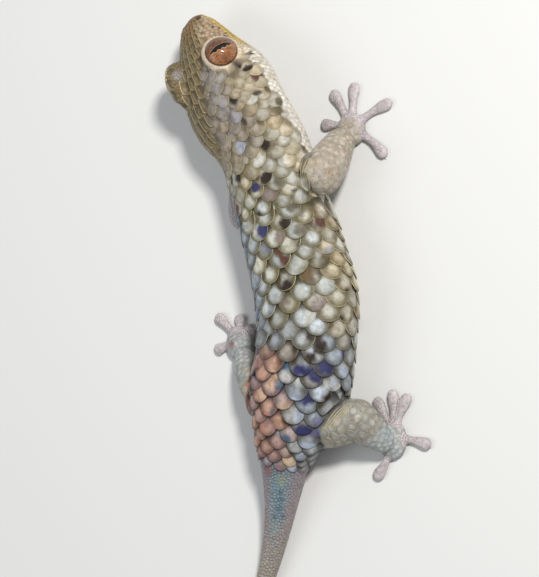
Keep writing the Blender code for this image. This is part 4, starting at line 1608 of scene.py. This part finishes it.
def faceSpacing(points):
    size = np.full(len(points), faceGaps["most"])
    for side in (1, -1):
        centre, _ = eyeAxes(side)
        away = np.linalg.norm(points - centre, axis=1)
        size = np.minimum(size, faceGaps["least"] + faceGaps["more"] * smooth(away, *faceGaps["fromEye"]))
    return size


def tailSpacing(points):
    return tailGaps["first"] - tailGaps["less"] * smooth(bodyPlace(points)[0], *tailGaps["between"])


def throatSpacing(points):
    return np.full(len(points), throatGap)


def spread(name, part, spacing, look, disc, finish, slot, seed):
    # scatters scales over a part of the skin, each lying along the limb or the body there
    seats = scatter(part, spacing(skinPoints), seed)
    _, _, heading, _ = limbPlace(seats)
    at, _, depth = bodyPlace(seats)
    behind = -unit(through(spineKnots, spine, at)[:, :3] - through(spineKnots, spine, at + 0.4)[:, :3])
    lie = np.where(((depth > 1.03) & (at > 17) & (at < 66))[:, None], heading, behind)
    layScales(name, seedsFrom(seats, lie, spacing(seats), look, seed + 1), disc, finish, slot)


partEnds = {"head": 15.5, "trunk": 64.4, "wrist": 2.85}
onHeadSkin = skinAt < partEnds["head"]
throatPart = bare & onThroat(skinPoints) & (skinDepth < 1.06)
limbPart = bare & ~onHeadSkin & ~throatPart & (skinAt < partEnds["trunk"])
legPart = limbPart & (skinAlong < partEnds["wrist"])
footPart = limbPart & (skinAlong >= partEnds["wrist"])
facePart = bare & onHeadSkin & ~throatPart
tailPart = bare & (skinAt >= partEnds["trunk"])
for name, part, *rest in (
    ("throatScales", throatPart, throatSpacing, limbScale, smallDisc, throatFinish, "head_skin", 71),
    ("limbScales", legPart, limbSpacing, limbScale, smallDisc, limbFinish, "leg_skin", 31),
    ("footScales", footPart, limbSpacing, toeScale, lightDisc, tinyFinish, "foot_skin", 33),
    ("faceScales", facePart, faceSpacing, tinyScale, granuleDisc, tinyFinish, "head_skin", 51),
    ("tailScales", tailPart, tailSpacing, tailScale, granuleDisc, tinyFinish, "tail_skin", 41),
):
    spread(name, part, *rest)


skinShades = (  # over blotches, cells and specks: from, to, strength, colour
    (0.35, 0.7, 0.35, (105, 98, 88)),
    (0.35, 0.7, 0.2, (110, 100, 90)),
    (0.6, 0.75, 0.25, (90, 80, 78)),
)


def skinFinish():
    finish = Finish("skinFinish")
    place = finish.place()
    tint = finish.read("tint", "Color")
    blotch = finish.noise(place, 1.6, 4, 0.6)
    cells = finish.node("ShaderNodeTexVoronoi", None, {"Vector": place, "Scale": 1000 / 0.42}, "Distance")
    speck = finish.noise(place, 0.35, 3, 0.6)
    colour = tint
    for layer, (start, end, strength, shade) in zip((blotch, cells, speck), skinShades):
        colour = finish.blend(finish.fade(layer, start, end) * strength, colour, shade, "MULTIPLY")
    finish.set(
        Base_Color=colour,
        Roughness=finish.fade(blotch, 0.2, 0.8, 0.42, 0.6),
        Normal=finish.bump((1 - cells) + speck * 0.3, 0.06),
    )
    return finish.material


skinTint = paint(skinPoints)[:, 1]
# painted shade: the skin under the scales darker, as in their shadow
skinTint[covered] *= 0.6
for place, reach, colour, strength in allMarks:
    share = 1 - smooth(np.linalg.norm(skinPoints - place, axis=1) / reach, 0.5, 1.2)
    skinTint += (colour - skinTint) * share[:, None] * strength
skinLook = {"tint": skinTint}
skinPiece = makePiece("geckoSkin", skinPoints, skinFaces.tolist(), skinFinish(), "body_scales", skinLook)
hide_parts(*[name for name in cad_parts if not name.startswith("eye_")])
print("skin dressed")

iris = {
    "copper": (146, 96, 60),
    "upper": (98, 64, 44),
    "vein": (66, 36, 24),
    "pupil": (6.6, 6.6, 6.6),
    "pupilEdge": (224, 184, 140),
    "outerRing": (38, 24, 18),
    "gold": (196, 146, 96),
    "pupilLong": 1.72,  # half its length
    "pupilAhead": -0.02,  # of its middle, towards the snout
    "pupilFront": 0.42,  # half width on the smooth side and on the notched one
    "pupilRear": 0.27,
    "notch": 0.1,
    "notchPace": 9,
    "front": (-0.15, 0.55),  # where copper turns to the upper colour
    "veinPace": (2.8, 0.7),
    "veinWarp": 2.4,
    "veinScale": 1.5,
    "veinWidth": 0.045,
    "veinStrength": 0.8,
    "goldStrength": 0.45,
    "darkStrength": 0.5,
    "edgeStrength": 0.4,
    "soft": (-0.02, 0.03),
    "turn": 8,
}


def eyeFinish():
    finish = Finish("eyeFinish")
    ahead = finish.read("ahead")
    across = finish.read("across")
    place = finish.place()
    warp = finish.noise(place, 1.1, 3, 0.6)
    fine = finish.noise(place, 0.22, 3, 0.6)
    stretched = ahead * iris["veinPace"][0] + warp * iris["veinWarp"]
    ways = finish.node("ShaderNodeCombineXYZ", None, {"X": stretched, "Y": across * iris["veinPace"][1]})
    sockets = {"Vector": ways, "Scale": iris["veinScale"], "Detail": 4.0}
    veins = finish.node("ShaderNodeTexNoise", None, sockets, "Fac")
    veinLine = 1 - finish.fade(finish.size(veins - 0.5), 0.0, iris["veinWidth"])
    front = finish.fade(ahead, *iris["front"])
    colour = finish.blend(front, iris["copper"], iris["upper"])
    colour = finish.blend(finish.fade(fine, 0.45, 0.75) * iris["goldStrength"], colour, iris["gold"])
    colour = finish.blend(finish.fade(warp, 0.5, 0.75) * iris["darkStrength"], colour, iris["vein"])
    colour = finish.blend(veinLine * iris["veinStrength"], colour, iris["vein"])
    share = across * (1 / iris["pupilLong"])
    taper = 1 - share * share * finish.size(share)
    fromSlit = ahead - iris["pupilAhead"]
    waves = finish.node("ShaderNodeMath", {"operation": "SINE"}, {0: across * iris["notchPace"]})
    notches = waves * iris["notch"]
    frontEdge = taper * iris["pupilFront"] - fromSlit
    rearEdge = fromSlit + taper * (notches + iris["pupilRear"])
    inside = finish.fade(frontEdge, *iris["soft"]) * finish.fade(rearEdge, *iris["soft"])
    border = finish.fade(rearEdge, -0.2, 0.0) * finish.fade(frontEdge, -0.12, 0.0) * (1 - inside)
    border = border * finish.fade(taper, 0.0, 0.4)
    colour = finish.blend(border * iris["edgeStrength"], colour, iris["pupilEdge"])
    colour = finish.blend(inside, colour, iris["pupil"])
    colour = finish.blend(finish.fade(finish.read("lean"), 0.9, 0.99), colour, iris["outerRing"])
    finish.set(Base_Color=colour, Roughness=0.5, Specular_IOR_Level=0.2)
    finish.set(Coat_Weight=0.6, Coat_Roughness=0.03)
    finish.set(Normal=finish.bump(fine * 0.3 - veinLine * 0.6 - inside, 0.03))
    return finish.material


def makeEye(name, side, node):
    centre, axes = eyeAxes(side)
    points, faces = ball((0, 0, 0), (eye["radius"],) * 3, sides=72, rows=60)
    lean = np.hypot(points[:, 0], points[:, 1]) / (eye["radius"] * math.sin(math.radians(eye["opening"])))
    turn = math.radians(iris["turn"])
    attributes = {
        "ahead": points[:, 0] * math.cos(turn) + points[:, 1] * side * math.sin(turn),
        "across": points[:, 1] * side * math.cos(turn) - points[:, 0] * math.sin(turn),
        "lean": np.where(points[:, 2] > 0, np.minimum(lean, 1), 1.0),
    }
    piece = makePiece(name, centre + points @ axes.T, faces, irisFinish, "eye", attributes)
    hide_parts(node)


irisFinish = eyeFinish()
makeEye("eyeRight", 1, "eye_right")
makeEye("eyeLeft", -1, "eye_left")
print("eyes set")

claw = {
    "length": 0.72,
    "sunk": 0.5,  # how much of it lies in the toe
    "height": 0.52,
    "radius": 0.17,
    "tip": 0.02,
    "flatness": 0.7,
    "curl": 0.3,
    "dark": (176, 164, 158),
    "pale": (206, 196, 190),
    "sides": 12,
    "stations": 10,
}


def clawFinish():
    finish = Finish("clawFinish")
    streak = finish.noise(finish.place(), 0.2, 3)
    colour = finish.blend(finish.fade(streak, 0.3, 0.7), claw["dark"], claw["pale"])
    finish.set(Base_Color=colour, Roughness=0.28, Normal=finish.bump(streak, 0.01))
    return finish.material


hornFinish = clawFinish()
for limbName, limb in limbs.items():
    shapes = []
    for x, y, sideways in limb["toes"]:
        last = toeLine(limb["palm"], (x, y), sideways, (0.98, 1.0))
        ahead = unit(last[1] - last[0])
        side = np.cross(ahead, (0, 0, 1))
        rings = []
        for share in np.linspace(0, 1, claw["stations"]):
            height = claw["height"] + 0.12 * math.sin(share * 2.2) - claw["curl"] * share**2
            centre = last[1] + ahead * (claw["length"] * share - claw["sunk"]) + np.array((0, 0, height))
            radius = claw["radius"] * (1 - share) ** 0.7 + claw["tip"]
            turns = turnsOf(claw["sides"])
            across = np.outer(np.cos(turns) * claw["flatness"], side)
            rings.append(centre + radius * (across + np.outer(np.sin(turns), (0, 0, 1))))
        shapes.append(lofted(rings))
    makePiece("claws" + limbName[0].upper() + limbName[1:], *joined(shapes), hornFinish, "claw")
print("claws set")

studio = {
    "key": {"place": (210, 170, 290), "size": 60, "power": 1.55, "colour": (1.0, 0.98, 0.95)},
    "fill": {"place": (-200, -60, 300), "size": 260, "power": 0.35, "colour": (0.94, 0.97, 1.0)},
    "sky": (0.8, 0.82, 0.86),
    "skyStrength": 0.42,
    "floor": (214, 214, 212),
    "floorReach": 1200.0,
}


def light(name, look):
    data = bpy.data.lights.new(name, "AREA")
    data.shape = "DISK"
    data.size = look["size"] / 1000
    data.energy = look["power"]
    data.color = look["colour"]
    lamp = addObject(name, data)
    lamp.location = Vector(look["place"]) / 1000
    lamp.rotation_euler = (-Vector(look["place"])).to_track_quat("-Z", "Y").to_euler()


light("keyLight", studio["key"])
light("fillLight", studio["fill"])
world = bpy.data.worlds.new("studio")
world.use_nodes = True
world.node_tree.nodes["Background"].inputs["Color"].default_value = rgba(studio["sky"])
world.node_tree.nodes["Background"].inputs["Strength"].default_value = studio["skyStrength"]
bpy.context.scene.world = world
bpy.context.scene.view_settings.view_transform = "Standard"

floorFinish = Finish("floorFinish")
floorFinish.set(Base_Color=rgba(linear(*studio["floor"])), Roughness=0.9)
corners = np.array(((-1, -1, 0), (1, -1, 0), (1, 1, 0), (-1, 1, 0))) * studio["floorReach"] / 1000
floorMesh = makeMesh("studioFloor", corners, [(0, 1, 2, 3)])
floorMesh.materials.append(floorFinish.material)
studioFloor = addObject("studioFloor", floorMesh)
print("studio lit")
